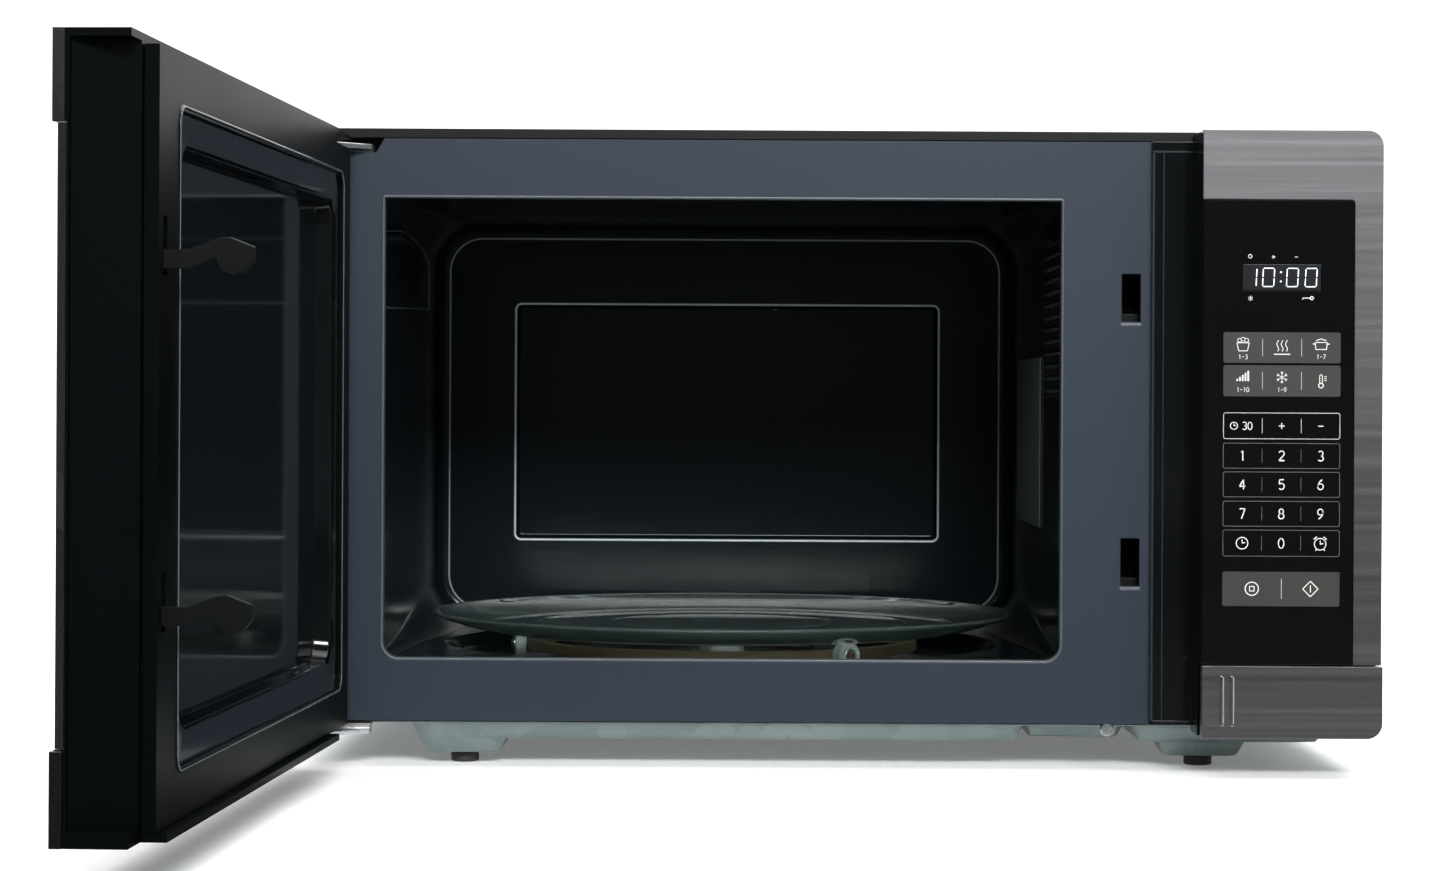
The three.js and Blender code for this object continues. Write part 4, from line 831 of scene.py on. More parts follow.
def cavity_liner():
    """One enamelled liner: walls, rear wall with its pressed field, and the floor with the roller track."""
    walls = (CAVITY_LEFT, CAVITY_FLOOR - 0.05, CAVITY_RIGHT, CAVITY_ROOF)
    left, floor, right, roof = walls
    back = CAVITY_BACK - 0.3
    fillet, corner, per_corner = 6.0, 26.0, 9
    flat_floor = per_corner  # the straight edge from the lower left corner to the lower right one
    bm = bmesh.new()
    highlight_layer = bm.verts.layers.float.new("painted_edge_highlight")
    rings = []

    def add_section(box, radius, y, painted_light=0.0, skip=()):
        """One more ring of the liner, joined to the ring before it."""
        ring = add_loop(bm, rounded_loop(*box, radius, per_corner), y)
        for vertex in ring:
            vertex[highlight_layer] = painted_light
        if rings:
            bridge(bm, rings[-1], ring, skip)
        rings.append(ring)

    sections = ((1.4, 4.0), (70, 8.0), (150, 14.0), (240, 20.0), (back - fillet, corner))
    for y, radius in sections:
        add_section(walls, radius, y, skip=(flat_floor,))
    for step in range(1, 6):
        angle = math.radians(90 * step / 5)
        inset = fillet * (1 - math.cos(angle))
        add_section(inset_box(walls, inset), corner - inset, back - fillet + fillet * math.sin(angle))
    # Two rings at the edge of the fillet round the rear wall carry a painted highlight.
    for extra, painted_light in ((0.2, 0.35), (0.7, 0.35), (1.2, 0.0)):
        inset = fillet + extra
        add_section(inset_box(walls, inset), corner - inset, back, painted_light)
    field = (left + 46.8, floor + 48.6, right - 43.5, roof - 46.3)
    shoulder, lean = 2.0, 68
    angles = [math.radians(angle) for angle in range(0, lean + 1, 17)]
    profile = [(shoulder * (1 - math.sin(a)), back + shoulder * (1 - math.cos(a))) for a in angles]
    profile += [(-grow - 0.2, 2 * back + 5.0 - y) for grow, y in reversed(profile)]
    # The second and third rings of the field's shoulder carry a painted highlight.
    for step, (grow, y) in enumerate(profile):
        add_section(inset_box(field, -grow), 2.4 + max(grow, 0), y, 0.8 if step in (1, 2) else 0.0)
    bm.faces.new(rings[-1])
    # The floor runs between the straight lower edges, round the mouth of the track.
    deep = RECESS_FLOOR
    track = [
        (150.6, floor), (149.9, floor - 0.12), (149.2, floor - 0.6), (148.6, floor - 1.6),
        (147.6, deep + 1.8), (147.0, deep + 0.7), (146.2, deep + 0.15), (145.0, deep), (34.0, deep),
        (31.0, deep + 0.3), (29.0, deep + 0.9), (8.0, deep + 0.9), (6.6, deep + 0.5), (6.4, deep - 0.7),
    ]
    mouth = add_turned(bm, track, TRAY_CENTRE, 120, closed=False)[0]
    left_side = [ring[flat_floor] for ring in rings[: len(sections)]]
    right_side = [ring[flat_floor + 1] for ring in rings[: len(sections)]]
    pairs = [*zip(left_side, left_side[1:]), *zip(right_side, right_side[1:])]
    pairs += [(left_side[0], right_side[0]), (left_side[-1], right_side[-1])]
    pairs += zip(mouth, mouth[1:] + mouth[:1])
    boundary = [bm.edges.get(pair) or bm.edges.new(pair) for pair in pairs]
    bmesh.ops.triangle_fill(bm, use_beauty=True, use_dissolve=False, edges=boundary)
    bmesh.ops.remove_doubles(bm, verts=bm.verts, dist=1e-4)
    bmesh.ops.recalc_face_normals(bm, faces=bm.faces)
    # The liner is seen from inside, so its faces look towards the middle of the cavity.
    roof_face = max(bm.faces, key=lambda face: face.calc_center_median().z)
    if roof_face.normal.z > 0:
        bmesh.ops.reverse_faces(bm, faces=bm.faces)
    for vertex in bm.verts:
        vertex.co = row_frame(vertex.co)
    liner = piece_from(bm, "cavity_liner")
    wall = liner.modifiers.new("sheet thickness", "SOLIDIFY")
    wall.thickness = 0.6 * MM
    wall.offset = -1
    stands_for = ("cavity_wrap", "cavity_floor", "cavity_back")
    settle(liner, CAVITY_ENAMEL, "cabinet", stands_for, 50)


def vent_frame():
    """The pressed line round the vent in the left wall, drawn flat and then stood on the wall; its lighter
    enamel is a painted highlight.
    """
    points = [(12, 264)] + arc(110, 255.4, 158, 13.8, 90, 0) + [(268, 232.6), (140, 229.4), (12, 226.2)]
    bm = bmesh.new()
    add_path(bm, points, 0.8, 0.02, 0.5)
    for vertex in bm.verts:
        depth, out, up = vertex.co
        vertex.co = (CAVITY_LEFT + out, depth, up)
    drawn(bm, "left_wall_vent_frame", HIGHLIGHT_ENAMEL, "cabinet", bevel=0.1)


def cavity_vents():
    """Air inlets in the side walls, and the cover of the microwave inlet."""
    x = CAVITY_RIGHT - 0.05
    rows_of_openings("right_wall_slots", (x, 78, 222.2), (1, 13), (9, 6.3), (88, 2.6, 0.3), 20, HOLE_DARK)
    # The slot lips and the dots are lighter enamel: painted highlights.
    rows_of_openings("right_wall_lips", (x, 78, 224.4), (1, 13), (9, 6.3), (88, 1.7, 1.2), 20, HIGHLIGHT_ENAMEL)
    rows_of_openings("right_wall_dots", (x, 18, 211), (1, 22), (5, 4.9), (3.2, 1.6, 0.6), 10, HIGHLIGHT_ENAMEL)
    x = CAVITY_LEFT + 0.05
    rows_of_openings("left_wall_vent", (x, 163, 256), (16, 7), (6.2, 5.6), (3.4, 3.4, 0.3), 10, HOLE_DARK)
    vent_frame()
    finished_node("waveguide_cover", MICA, "cabinet", 0.12)


# ------------------------------------------------------------------ turntable


def glass_tray():
    """Pressed glass: flat middle with fine rings, a sloping wall and a rolled rim."""
    low, high = corners("glass_tray")
    radius, rim = (high.x - low.x) / 2, high.z
    base = rim - 10.5
    outside = [
        (0.2, base), (60, base), (radius - 31.5, base), (radius - 25.5, base + 1.2),
        (radius - 12, base + 4.4), (radius - 5, base + 6.9), (radius - 1.2, base + 8.1),
        (radius - 0.2, base + 8.9), (radius, base + 9.6),
    ]
    inside = [
        (radius - 0.5, rim - 0.3), (radius - 1.6, rim), (radius - 3.4, rim - 0.5), (radius - 8, rim - 2.0),
        (radius - 16, rim - 3.9), (radius - 26.5, base + 5.2), (radius - 29, base + 4.5),
        (radius - 33.5, base + 4.2), (100.6, base + 4.2), (100.0, base + 3.7), (98.8, base + 3.7),
        (98.2, base + 4.2), (60.6, base + 4.2), (60.0, base + 3.7), (58.8, base + 3.7), (58.2, base + 4.2),
        (0.2, base + 4.2),
    ]
    bm = bmesh.new()
    add_turned(bm, outside + inside, TRAY_CENTRE, 160)
    drawn(bm, "glass_tray_finished", TRAY_GLASS, "tray", stands_for=("glass_tray",), smooth=50)
    bm = bmesh.new()
    for lug in range(3):
        angle = math.radians(60 + 120 * lug)
        place = TRAY_CENTRE + Vector((20 * math.cos(angle), 20 * math.sin(angle), base))
        add_turned(bm, [(2.0, -4.4), (2.8, -3.8), (3.1, -0.05)], place, 20)
    drawn(bm, "glass_tray_lugs", TRAY_GLASS, "tray")


def turntable():
    """The glass tray, its coupler and motor, and the roller ring with a metal hub on each roller."""
    glass_tray()
    finished_node("drive_coupler", WHITE_MOULDING, "tray", 0.6, 3)
    finished_node("roller_ring", RING_MOULDING, "ring", 0.5, 2)
    bore = 2.1
    outside = [(bore, 0.0), (3.6, 0.0), (3.6, 0.5), (3.2, 0.8), (bore, 0.8)]
    for number, body in ((1, "roller_one"), (2, "roller_two"), (3, "roller_three")):
        finished_node(f"roller_{number}", WHITE_MOULDING, body, 0.7, 3)
        axis = Vector(JOINTS[body + "_spin"]["axis"])
        place = (Vector(JOINTS[body + "_spin"]["pos_m"]) - ORIGIN) / MM
        bm = bmesh.new()
        for profile in (outside, [outside[-1], outside[0]]):
            add_turned(bm, profile, (0, 0, 0), 32, "x", closed=False)
        turn = Vector((1, 0, 0)).rotation_difference(axis).to_matrix()
        for vertex in bm.verts:
            vertex.co = place + axis * 3.0 + turn @ vertex.co
        bmesh.ops.remove_doubles(bm, verts=bm.verts, dist=1e-4)
        drawn(bm, f"roller_{number}_hub", PLATED_STEEL, body)
    finished_node("turntable_motor", PLATED_STEEL, "cabinet", 0.5)


# ------------------------------------------------------------------ control panel

KEY_LEFT, KEY_RIGHT = 185.8, 242.2
COLUMN_LINES = (204.6, 223.4)
COLUMNS = (195.2, 214.0, 232.8)
INK = 0.06  # thickness of printed marks
PRINT_FACE = FACE + 0.3  # front face of the keypad


def add_line(bm, x0, z0, x1, z1, width, y0, y1):
    """A straight printed line."""
    along = Vector((x1 - x0, z1 - z0)).normalized() * width / 2
    side = Vector((-along.y, along.x))
    points = [(x0 - side.x, z0 - side.y), (x1 - side.x, z1 - side.y)]
    points += [(x1 + side.x, z1 + side.y), (x0 + side.x, z0 + side.y)]
    add_prism(bm, points, y0, y1)


def keypad_fields():
    """Grey fields, outlined rows and column lines."""
    front, back = PRINT_FACE - INK, PRINT_FACE
    bm = bmesh.new()
    for z0, z1 in ((200.3, 215.1), (184.2, 199.2), (83.2, 99.8)):
        add_prism(bm, rounded_loop(KEY_LEFT, z0, KEY_RIGHT, z1, 1.0, 4), front, back)
    drawn(bm, "key_fields", KEY_GREY, "cabinet")
    bm = bmesh.new()
    add_outline(bm, (KEY_LEFT, 163.6, KEY_RIGHT, 176.4), 0.36, front, back, 1.2)
    for x in COLUMN_LINES:
        for low, high in ((203.5, 212.0), (187.5, 196.0), (166.5, 173.5)):
            add_line(bm, x, low, x, high, 0.3, front - INK, front)
    add_line(bm, 214.2, 86.8, 214.2, 96.4, 0.35, front - INK, front)
    drawn(bm, "key_outlines", KEY_LINE, "cabinet")
    bm = bmesh.new()
    for z0, z1 in ((149.4, 161.8), (135.6, 148.0), (121.5, 133.9), (107.1, 120.0)):
        add_outline(bm, (KEY_LEFT, z0, KEY_RIGHT, z1), 0.36, front, back, 1.2)
        for x in COLUMN_LINES:
            add_line(bm, x, z0 + 2.8, x, z1 - 2.8, 0.3, front, back)
    drawn(bm, "key_dark_outlines", KEY_DARK_LINE, "cabinet")


def add_ring(bm, x, z, outer, inner, y0, y1, sides=28):
    """A printed circle."""
    angles = [2 * math.pi * side / sides for side in range(sides)]
    circles = [[(x + r * math.cos(a), z + r * math.sin(a)) for a in angles] for r in (outer, inner)]
    add_frame(bm, *circles, y0, y1)


def add_path(bm, points, width, y0, y1, closed=False):
    """Straight printed strokes through the points."""
    ends = points[1:] + points[:1] if closed else points[1:]
    for start, end in zip(points, ends):
        add_line(bm, *start, *end, width, y0, y1)


def around(x, z, radius, angle):
    """The point at an angle in degrees on a circle about (x, z)."""
    return x + radius * math.cos(math.radians(angle)), z + radius * math.sin(math.radians(angle))


def arc(x, z, width, height, start, end, steps=14):
    """Points on part of an ellipse with the given half width and half height, angles in degrees."""
    angles = [math.radians(start + (end - start) * step / steps) for step in range(steps + 1)]
    return [(x + width * math.cos(angle), z + height * math.sin(angle)) for angle in angles]


# Pen strokes of the printed numerals and signs, one unit high about the middle.
STROKES = {
    "0": [arc(0, 0, 0.28, 0.5, 0, 360, 24)],
    "1": [[(-0.16, 0.34), (0.03, 0.5), (0.03, -0.5)]],
    "2": [arc(0, 0.22, 0.26, 0.28, 160, -38) + [(-0.28, -0.48), (0.3, -0.48)]],
    "3": [arc(0, 0.25, 0.24, 0.25, 145, -90), arc(0, -0.25, 0.28, 0.25, 90, -145)],
    "4": [[(0.12, -0.5), (0.12, 0.5), (-0.3, -0.2), (0.3, -0.2)]],
    "5": [[(0.24, 0.5), (-0.19, 0.5), (-0.23, 0.05)] + arc(0, -0.19, 0.28, 0.31, 128, -145)],
    "6": [arc(0, -0.2, 0.28, 0.3, 0, 360, 20), [(0.17, 0.5), (-0.06, 0.32), (-0.23, 0.04), (-0.28, -0.2)]],
    "7": [[(-0.27, 0.5), (0.28, 0.5), (-0.08, -0.5)]],
    "8": [arc(0, 0.25, 0.22, 0.25, 0, 360, 18), arc(0, -0.24, 0.28, 0.26, 0, 360, 20)],
    "9": [arc(0, 0.2, 0.28, 0.3, 0, 360, 20), [(-0.17, -0.5), (0.06, -0.32), (0.23, -0.04), (0.28, 0.2)]],
    "+": [[(-0.26, 0), (0.26, 0)], [(0, -0.26), (0, 0.26)]],
    "-": [[(-0.24, 0), (0.24, 0)]],
}


def numerals(bm, text, x, z, height, stroke, front, back):
    """Adds a centred row of numerals drawn with a pen of constant width."""
    advance = 0.74 * height
    for place, mark in enumerate(text):
        middle = x + (place - (len(text) - 1) / 2) * advance
        for points in STROKES[mark]:
            placed = [(middle + across * height, z + up * height) for across, up in points]
            add_path(bm, placed, stroke, front, back)


def placed_at(x, z, *points):
    """Points that are given from the middle of a sign."""
    return [(x + across, z + up) for across, up in points]


def enlarged(sign, bm, x, z, front, back, factor=1.3, **sizes):
    """Draws a sign larger than its own size, about its middle."""
    before = len(bm.verts)
    sign(bm, x, z, front, back, **sizes)
    bm.verts.ensure_lookup_table()
    for vertex in bm.verts[before:]:
        vertex.co.x = x + (vertex.co.x - x) * factor
        vertex.co.z = z + (vertex.co.z - z) * factor


def bucket_sign(bm, x, z, front, back):
    """A bucket of popped corn."""
    add_path(bm, placed_at(x, z, (-2.3, 0.6), (-1.6, -2.4), (1.6, -2.4), (2.3, 0.6)), 0.3, front, back, True)
    for across, up in ((-1.3, 1.5), (0.0, 1.9), (1.3, 1.5)):
        add_ring(bm, x + across, z + up, 0.85, 0.6, front - INK, back - INK, 16)


def steam_sign(bm, x, z, front, back):
    """Three wisps of steam over a plate."""
    for across in (-1.5, 0.0, 1.5):
        wave = [(x + across + 0.35 * math.sin(step * 1.05), z - 1.2 + 0.55 * step) for step in range(8)]
        add_path(bm, wave, 0.28, front, back)
    add_line(bm, x - 2.8, z - 2.2, x + 2.8, z - 2.2, 0.35, front, back)


def pot_sign(bm, x, z, front, back):
    """A pot with two handles and its lid."""
    add_path(bm, placed_at(x, z, (-2.2, 0.7), (-2.0, -1.9), (2.0, -1.9), (2.2, 0.7)), 0.3, front, back, True)
    add_line(bm, x - 3.1, z + 0.1, x - 2.3, z + 0.1, 0.4, front, back)
    add_line(bm, x + 2.3, z + 0.1, x + 3.1, z + 0.1, 0.4, front, back)
    add_path(bm, placed_at(x, z, (-1.9, 1.4), (0, 2.0), (1.9, 1.4)), 0.3, front, back)


def bars_sign(bm, x, z, front, back):
    """Five bars that rise, for the power level."""
    for step in range(5):
        left = x - 2.6 + 1.1 * step
        add_prism(bm, rounded_loop(left, z - 1.9, left + 0.65, z - 1.0 + 0.8 * step, 0.15, 2), front, back)


def snow_sign(bm, x, z, front, back, size=2.5):
    """A snow crystal, for defrosting."""
    for angle in (90, 150, 210):
        add_line(bm, *around(x, z, size, angle), *around(x, z, -size, angle), 0.26, front, back)
    for angle in range(30, 390, 60):
        fork = around(x, z, size * 0.6, angle)
        for lean in (-40, 40):
            add_line(bm, *fork, *around(*fork, size * 0.36, angle + lean), 0.22, front, back)


def keep_warm_sign(bm, x, z, front, back):
    """A thermometer with its scale."""
    add_ring(bm, x, z - 1.6, 1.05, 0.7, front, back, 20)
    stem = placed_at(x, z, (-0.5, -0.7), (-0.5, 2.1), (0, 2.5), (0.5, 2.1), (0.5, -0.7))
    add_path(bm, stem, 0.26, front, back)
    for up in (0.3, 1.0, 1.7):
        add_line(bm, x + 1.2, z + up, x + 2.1, z + up, 0.26, front, back)


def clock_sign(bm, x, z, front, back, alarm=False, size=2.5):
    """A clock face, with the bells and feet of an alarm clock where asked."""
    add_ring(bm, x, z, size, size - 0.35, front, back)
    add_path(bm, [(x, z + size * 0.62), (x, z), (x + size * 0.5, z + size * 0.1)], 0.3, front, back)
    if alarm:
        for side in (-1, 1):
            bell = [around(x, z, size * 1.3, 90 - lean * side) for lean in (24, 54)]
            foot = [around(x, z, size * reach, 270 + 35 * side) for reach in (1.0, 1.3)]
            add_path(bm, bell, 0.4, front, back)
            add_path(bm, foot, 0.35, front, back)


def stop_sign(bm, x, z, front, back):
    """A square in a circle."""
    add_ring(bm, x, z, 3.4, 2.95, front, back, 36)
    add_outline(bm, (x - 1.3, z - 1.3, x + 1.3, z + 1.3), 0.4, front, back, 0.2)


def start_sign(bm, x, z, front, back):
    """An upright stroke in a diamond."""
    add_path(bm, [around(x, z, 3.7, angle) for angle in (0, 90, 180, 270)], 0.42, front, back, True)
    add_line(bm, x, z - 1.7, x, z + 1.7, 0.45, front, back)


def keypad_ink():
    """Numbers and plain signs; no words."""
    y = PRINT_FACE - 1.5 * INK
    front, back = y - INK / 2, y + INK / 2
    bm = bmesh.new()
    for z, digits in ((155.6, "123"), (141.8, "456"), (127.7, "789"), (113.5, " 0 ")):
        for x, digit in zip(COLUMNS, digits):
            if digit != " ":
                numerals(bm, digit, x, z, 4.7, 0.52, front, back)
    left, middle, right = COLUMNS
    enlarged(bucket_sign, bm, left, 209.2, front, back)
    enlarged(steam_sign, bm, middle, 207.6, front, back, 1.4)
    enlarged(pot_sign, bm, right, 209.4, front, back)
    enlarged(bars_sign, bm, left, 193.8, front, back, 1.2)
    enlarged(snow_sign, bm, middle, 193.4, front, back, 1.15)
    enlarged(keep_warm_sign, bm, right, 191.6, front, back)
    ranges = ((left, 203.2, "1-3"), (right, 203.4, "1-7"), (left, 187.4, "1-10"), (middle, 187.4, "1-9"))
    for x, z, digits in ranges:
        numerals(bm, digits, x, z, 2.1, 0.28, front, back)
    numerals(bm, "30", left + 2.2, 170.0, 3.6, 0.42, front, back)
    clock_sign(bm, left - 4.2, 170.0, front, back, size=1.9)
    numerals(bm, "+", middle, 170.0, 5.4, 0.5, front, back)
    numerals(bm, "-", right, 170.0, 5.4, 0.5, front, back)
    enlarged(clock_sign, bm, left, 113.5, front, back, 1.2)
    enlarged(clock_sign, bm, right, 113.2, front, back, 1.2, alarm=True)
    stop_sign(bm, 200.0, 91.6, front, back)
    start_sign(bm, 228.2, 91.6, front, back)
    snow_sign(bm, 198.6, 231.4, front, back, 1.2)
    add_ring(bm, 198.4, 251.6, 1.0, 0.7, front, back, 16)
    numerals(bm, "+", 209.6, 251.4, 3.0, 0.36, front, back)
    numerals(bm, "-", 220.6, 251.4, 3.0, 0.36, front, back)
    add_ring(bm, 228.2, 231.6, 0.95, 0.5, front, back, 16)
    add_path(bm, [(227.3, 231.6), (223.8, 231.6), (223.8, 230.8)], 0.35, front, back)
    drawn(bm, "key_printing", KEY_INK, "cabinet")


SEGMENTS = {"0": "abcdef", "1": "bc", "2": "abged", "3": "abgcd", "5": "afgcd"}


def display():
    """The display's filter window, and its lit clock digits."""
    finished_node("display_window", DISPLAY_FILTER, "cabinet", 0.15)
    y0, y1 = PRINT_FACE - INK, PRINT_FACE
    height, width, bar, lean = 8.8, 5.4, 0.44, 0.05
    bm = bmesh.new()

    def bar_between(x, z, start, end):
        """A segment with pointed ends."""
        a, b = Vector(start), Vector(end)
        along = (b - a).normalized()
        side = Vector((-along.y, along.x)) * bar / 2
        a, b = a + along * 0.25, b - along * 0.25
        tip = along * bar / 2
        outline = [a, a + tip - side, b - tip - side, b, b - tip + side, a + tip + side]
        add_prism(bm, [(x + p.x + lean * p.y, z + p.y) for p in outline], y0, y1)

    half = height / 2
    ends = {
        "a": ((0, height), (width, height)),
        "b": ((width, half), (width, height)),
        "c": ((width, 0), (width, half)),
        "d": ((0, 0), (width, 0)),
        "e": ((0, 0), (0, half)),
        "f": ((0, half), (0, height)),
        "g": ((0, half), (width, half)),
    }
    for x, digit in zip((195.9, 204.4, 215.9, 224.9), "1000"):
        for segment in SEGMENTS[digit]:
            bar_between(x, 237.1, *ends[segment])
    for z in (239.6, 244.0):
        add_prism(bm, rounded_loop(212.9, z - 0.35, 213.6, z + 0.35, 0.2, 3), y0, y1)
    drawn(bm, "display_digits", LIT_SEGMENT, "cabinet")


def flange_ribs():
    """The fine ribs at the edges of the glossy flange beside the front plate, in a lighter gloss that is a
    painted highlight.
    """
    left, face = corners("panel_housing")[0].x, -3.1
    bm = bmesh.new()
    add_prism(bm, rounded_loop(left + 0.1, 24.0, left + 1.3, 304.2, 0.3, 3), face - 0.5, face + 0.4)
    add_prism(bm, rounded_loop(left + 5.4, 24.0, left + 6.0, 304.2, 0.2, 3), face - 0.35, face + 0.4)
    for z in (24.0, 303.6):
        add_prism(bm, rounded_loop(left + 0.1, z, PANEL_LEFT - 0.8, z + 0.9, 0.3, 3), face - 0.5, face + 0.4)
    drawn(bm, "flange_ribs", RIB_HIGHLIGHT_GLOSS, "cabinet", bevel=0.15)


def button_bay():
    """A short wall behind the release button, inside its cap, that closes the bay when seen from the side."""
    low, high = corners("release_button")
    front, back = FACE + 6.7, FACE + 12.9
    box = (low.x + 2.5, low.z + 2.5, high.x - 7.1, high.z - 2.5)
    bm = bmesh.new()
    add_outline(bm, box, 1.0, front, back, 1.0)
    drawn(bm, "button_bay_wall", BLACK_MOULDING, "cabinet", bevel=0.15)


def grip_grooves():
    """The rounded ribs in the two finger grooves of the release button, and light strips along their edges: a
    painted highlight.
    """
    low, high = corners("release_button")
    face, bottom, top = low.y, low.z + 6.2, high.z - 4.7
    ribs, edges = bmesh.new(), bmesh.new()
    for groove in (0, 1):
        left = low.x + 8.4 + 4.9 * groove
        add_prism(ribs, rounded_loop(left + 0.25, bottom, left + 1.75, top, 0.7, 5), face + 0.1, face + 0.7)
        upright = rounded_loop(left + 1.6, bottom + 0.6, left + 2.2, top - 0.6, 0.15, 3)
        level = rounded_loop(left + 0.2, top - 0.5, left + 1.5, top, 0.2, 3)
        for outline in (upright, level):
            add_prism(edges, outline, face + 0.02, face + 0.6)
    drawn(ribs, "grip_ribs", PANEL_STEEL, "button", bevel=0.3, segments=3)
    # The light strips along the grooves are a painted highlight.
    drawn(edges, "grip_edge_highlights", GRIP_HIGHLIGHT, "button", bevel=0.08)


def control_panel():
    """The panel's housing, strip, keypad, display, release button and what lies behind them."""
    finished_node("panel_housing", DOOR_GLOSS, "cabinet", 0.4, 2)
    flange_ribs()
    finished_node("panel_trim", PANEL_STEEL, "cabinet", 0.3, 3)
    finished_node("panel_glass", PANEL_GLOSS, "cabinet", 0.2, 2)
    finished_node("display_module", BLACK_MOULDING, "cabinet", 0.3)
    finished_node("control_board", BOARD_MASK, "cabinet", 0.2)
    finished_node("release_button", PANEL_STEEL, "button", 0.35, 3)
    finished_node("release_lever", WHITE_MOULDING, "lever", 0.5)
    button_bay()
    grip_grooves()
    display()
    keypad_fields()
    keypad_ink()


# ------------------------------------------------------------------ door


def screen_tree():
    """A sheet of square cells with a six-sided hole in each."""
    inputs = {"Columns": ("Int", 60), "Rows": ("Int", 40), "Pitch": ("Float", 0.004)}
    inputs["Material"] = ("Material", None)
    tree, given, out = new_tree("perforated sheet", inputs)
    points = grid_points(tree, given, given["Pitch"], given["Pitch"])
    cells = copies(tree, points, given["Geometry"])
    merged = add_node(tree, "GeometryNodeMergeByDistance", {"Geometry": cells, "Distance": 0.00002})
    plug(tree, out, {"Geometry": coated(tree, merged.outputs["Geometry"], given["Material"])})
    return tree


def perforated_screen(low, high, y):
    """The microwave screen behind the door glass, with its rows of holes."""
    pitch, hole = 3.9, 1.25
    half = pitch / 2
    square = [(half, 0), (half, half), (-half, half), (-half, 0), (-half, -half), (half, -half)]
    hexagon = [around(0, 0, hole, 60 * side) for side in range(6)]
    cell = bmesh.new()
    outer, inner = ([cell.verts.new((x * MM, z * MM, 0)) for x, z in points] for points in (square, hexagon))
    bridge(cell, outer, inner)
    cell_mesh = bpy.data.meshes.new("screen_cell")
    cell.to_mesh(cell_mesh)
    cell.free()
    values = {
        "Columns": int((high[0] - low[0]) / pitch),
        "Rows": int((high[1] - low[1]) / pitch),
        "Pitch": pitch * MM,
        "Material": SCREEN_STEEL,
    }
    bm = bmesh.new()
    bm.from_mesh(pattern_mesh(screen_tree(), values, cell_mesh))
    centre = Vector(((low[0] + high[0]) / 2, y, (low[1] + high[1]) / 2))
    for vertex in bm.verts:
        across, up = vertex.co.xy / MM
        vertex.co = row_frame(centre + Vector((across, 0, up)), True)
    screen = piece_from(bm, "screen_mesh_finished")
    settle(screen, SCREEN_STEEL, "door", ("screen_mesh",), weighted=False)


WINDOW = (-231.2, 42.4, 120.4, 288.2)  # inner window recess of the closed door: left, bottom, right, top
DOOR_RIGHT = PANEL_LEFT - 1.5
PLATEAU = -0.8  # the inner face of the closed door


def door():
    """The door's frame, bands, glasses and screen, and the latch that moves in it."""
    finished_node("door_frame", DOOR_MOULDING, "door", 0.7, 3)
    finished_node("choke_cover", DOOR_MOULDING, "door", 1.0, 4)
    free_edge = SWING.to_3x3() @ Vector((1, 0, 0))
    for node in ("door_top_band", "door_bottom_band"):
        band = finished_node(node, DOOR_STEEL, "door", 0.45, 3)
        band.data.materials.append(SHADED_STEEL)
        for polygon in band.data.polygons:
            if polygon.normal.dot(free_edge) > 0.7:
                polygon.material_index = 1
    finished_node("door_glass", DOOR_GLASS, "door", 0.4, 2)
    finished_node("inner_window", INNER_PANE, "door", 0.2)
    finished_node("door_metal_panel", SCREEN_STEEL, "door", 0.3)
    left, bottom, right, top = inset_box(WINDOW, 12)
    perforated_screen((left, bottom), (right, top), -15.2)
    door_frit()
    window_surround()
    finished_node("latch_bar", BLACK_MOULDING, "latch", 0.45, 2)
    spring = finished_node("latch_spring", PLATED_STEEL, "door", 0, smooth=60)
    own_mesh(spring)


def window_surround():
    """The moulded step round the door's inner window: edge, ledge and sloping wall, and its fine bead, whose
    light colour is a painted highlight.
    """
    profile = [
        (-2.3, 0.0), (-2.0, 0.3), (-1.5, 0.45), (-1.0, 0.3), (-0.6, -0.2), (-0.1, -0.9), (0.6, -1.3),
        (1.6, -1.5), (11.6, -2.3), (12.4, -2.5), (13.1, -3.0), (13.5, -3.8), (13.9, -9.8),
        (14.5, -10.8), (15.4, -11.3), (17.0, -11.4), (17.0, -11.55), (-1.0, -11.55), (-2.6, -2.0),
    ]
    bm = bmesh.new()
    rings = []
    for inset, height in profile:
        radius = max(8.0 + inset * 0.25, 1.5)
        rings.append(add_loop(bm, rounded_loop(*inset_box(WINDOW, inset), radius, 10), PLATEAU + height))
    close_rings(bm, rings)
    drawn(bm, "window_surround", DOOR_GLOSS, "door", on_door=True, smooth=60)
    bm = bmesh.new()
    rings = []
    for side in range(8):
        inset, height = around(-1.5, 0.32, 0.42, 45 * side)
        rings.append(add_loop(bm, rounded_loop(*inset_box(WINDOW, inset), 8.0, 10), PLATEAU + height))
    close_rings(bm, rings)
    drawn(bm, "window_bead", BEAD_HIGHLIGHT_GLOSS, "door", on_door=True, smooth=60)


def door_frit():
    """The black printed border behind the outer glass."""
    y = FACE + 1.8 + 3 + 0.03
    outer = rounded_loop(-SIDE + 0.4, BUTTON_TOP + 1.4, DOOR_RIGHT - 0.4, PANEL_BAND_BOTTOM - 0.7, 0.5, 6)
    left, bottom, right, top = inset_box(WINDOW, 16)
    inner = rounded_loop(left, bottom + 12, right, top - 8, 8, 6)
    bm = bmesh.new()
    add_frame(bm, outer, inner, y, y + 0.12)
    drawn(bm, "door_glass_border", FRIT, "door", on_door=True)


# ------------------------------------------------------------------ hinges, latch and inside parts


def fittings():
    """The hinges, the latch bracket and the door switches."""
    for node in ("upper_hinge", "lower_hinge"):
        finished_node(node, PLATED_STEEL, "cabinet", 0.3, 2)
    for node in ("latch_bracket", "door_switch_1", "door_switch_2", "door_switch_3"):
        finished_node(node, BLACK_MOULDING, "cabinet", 0.4)


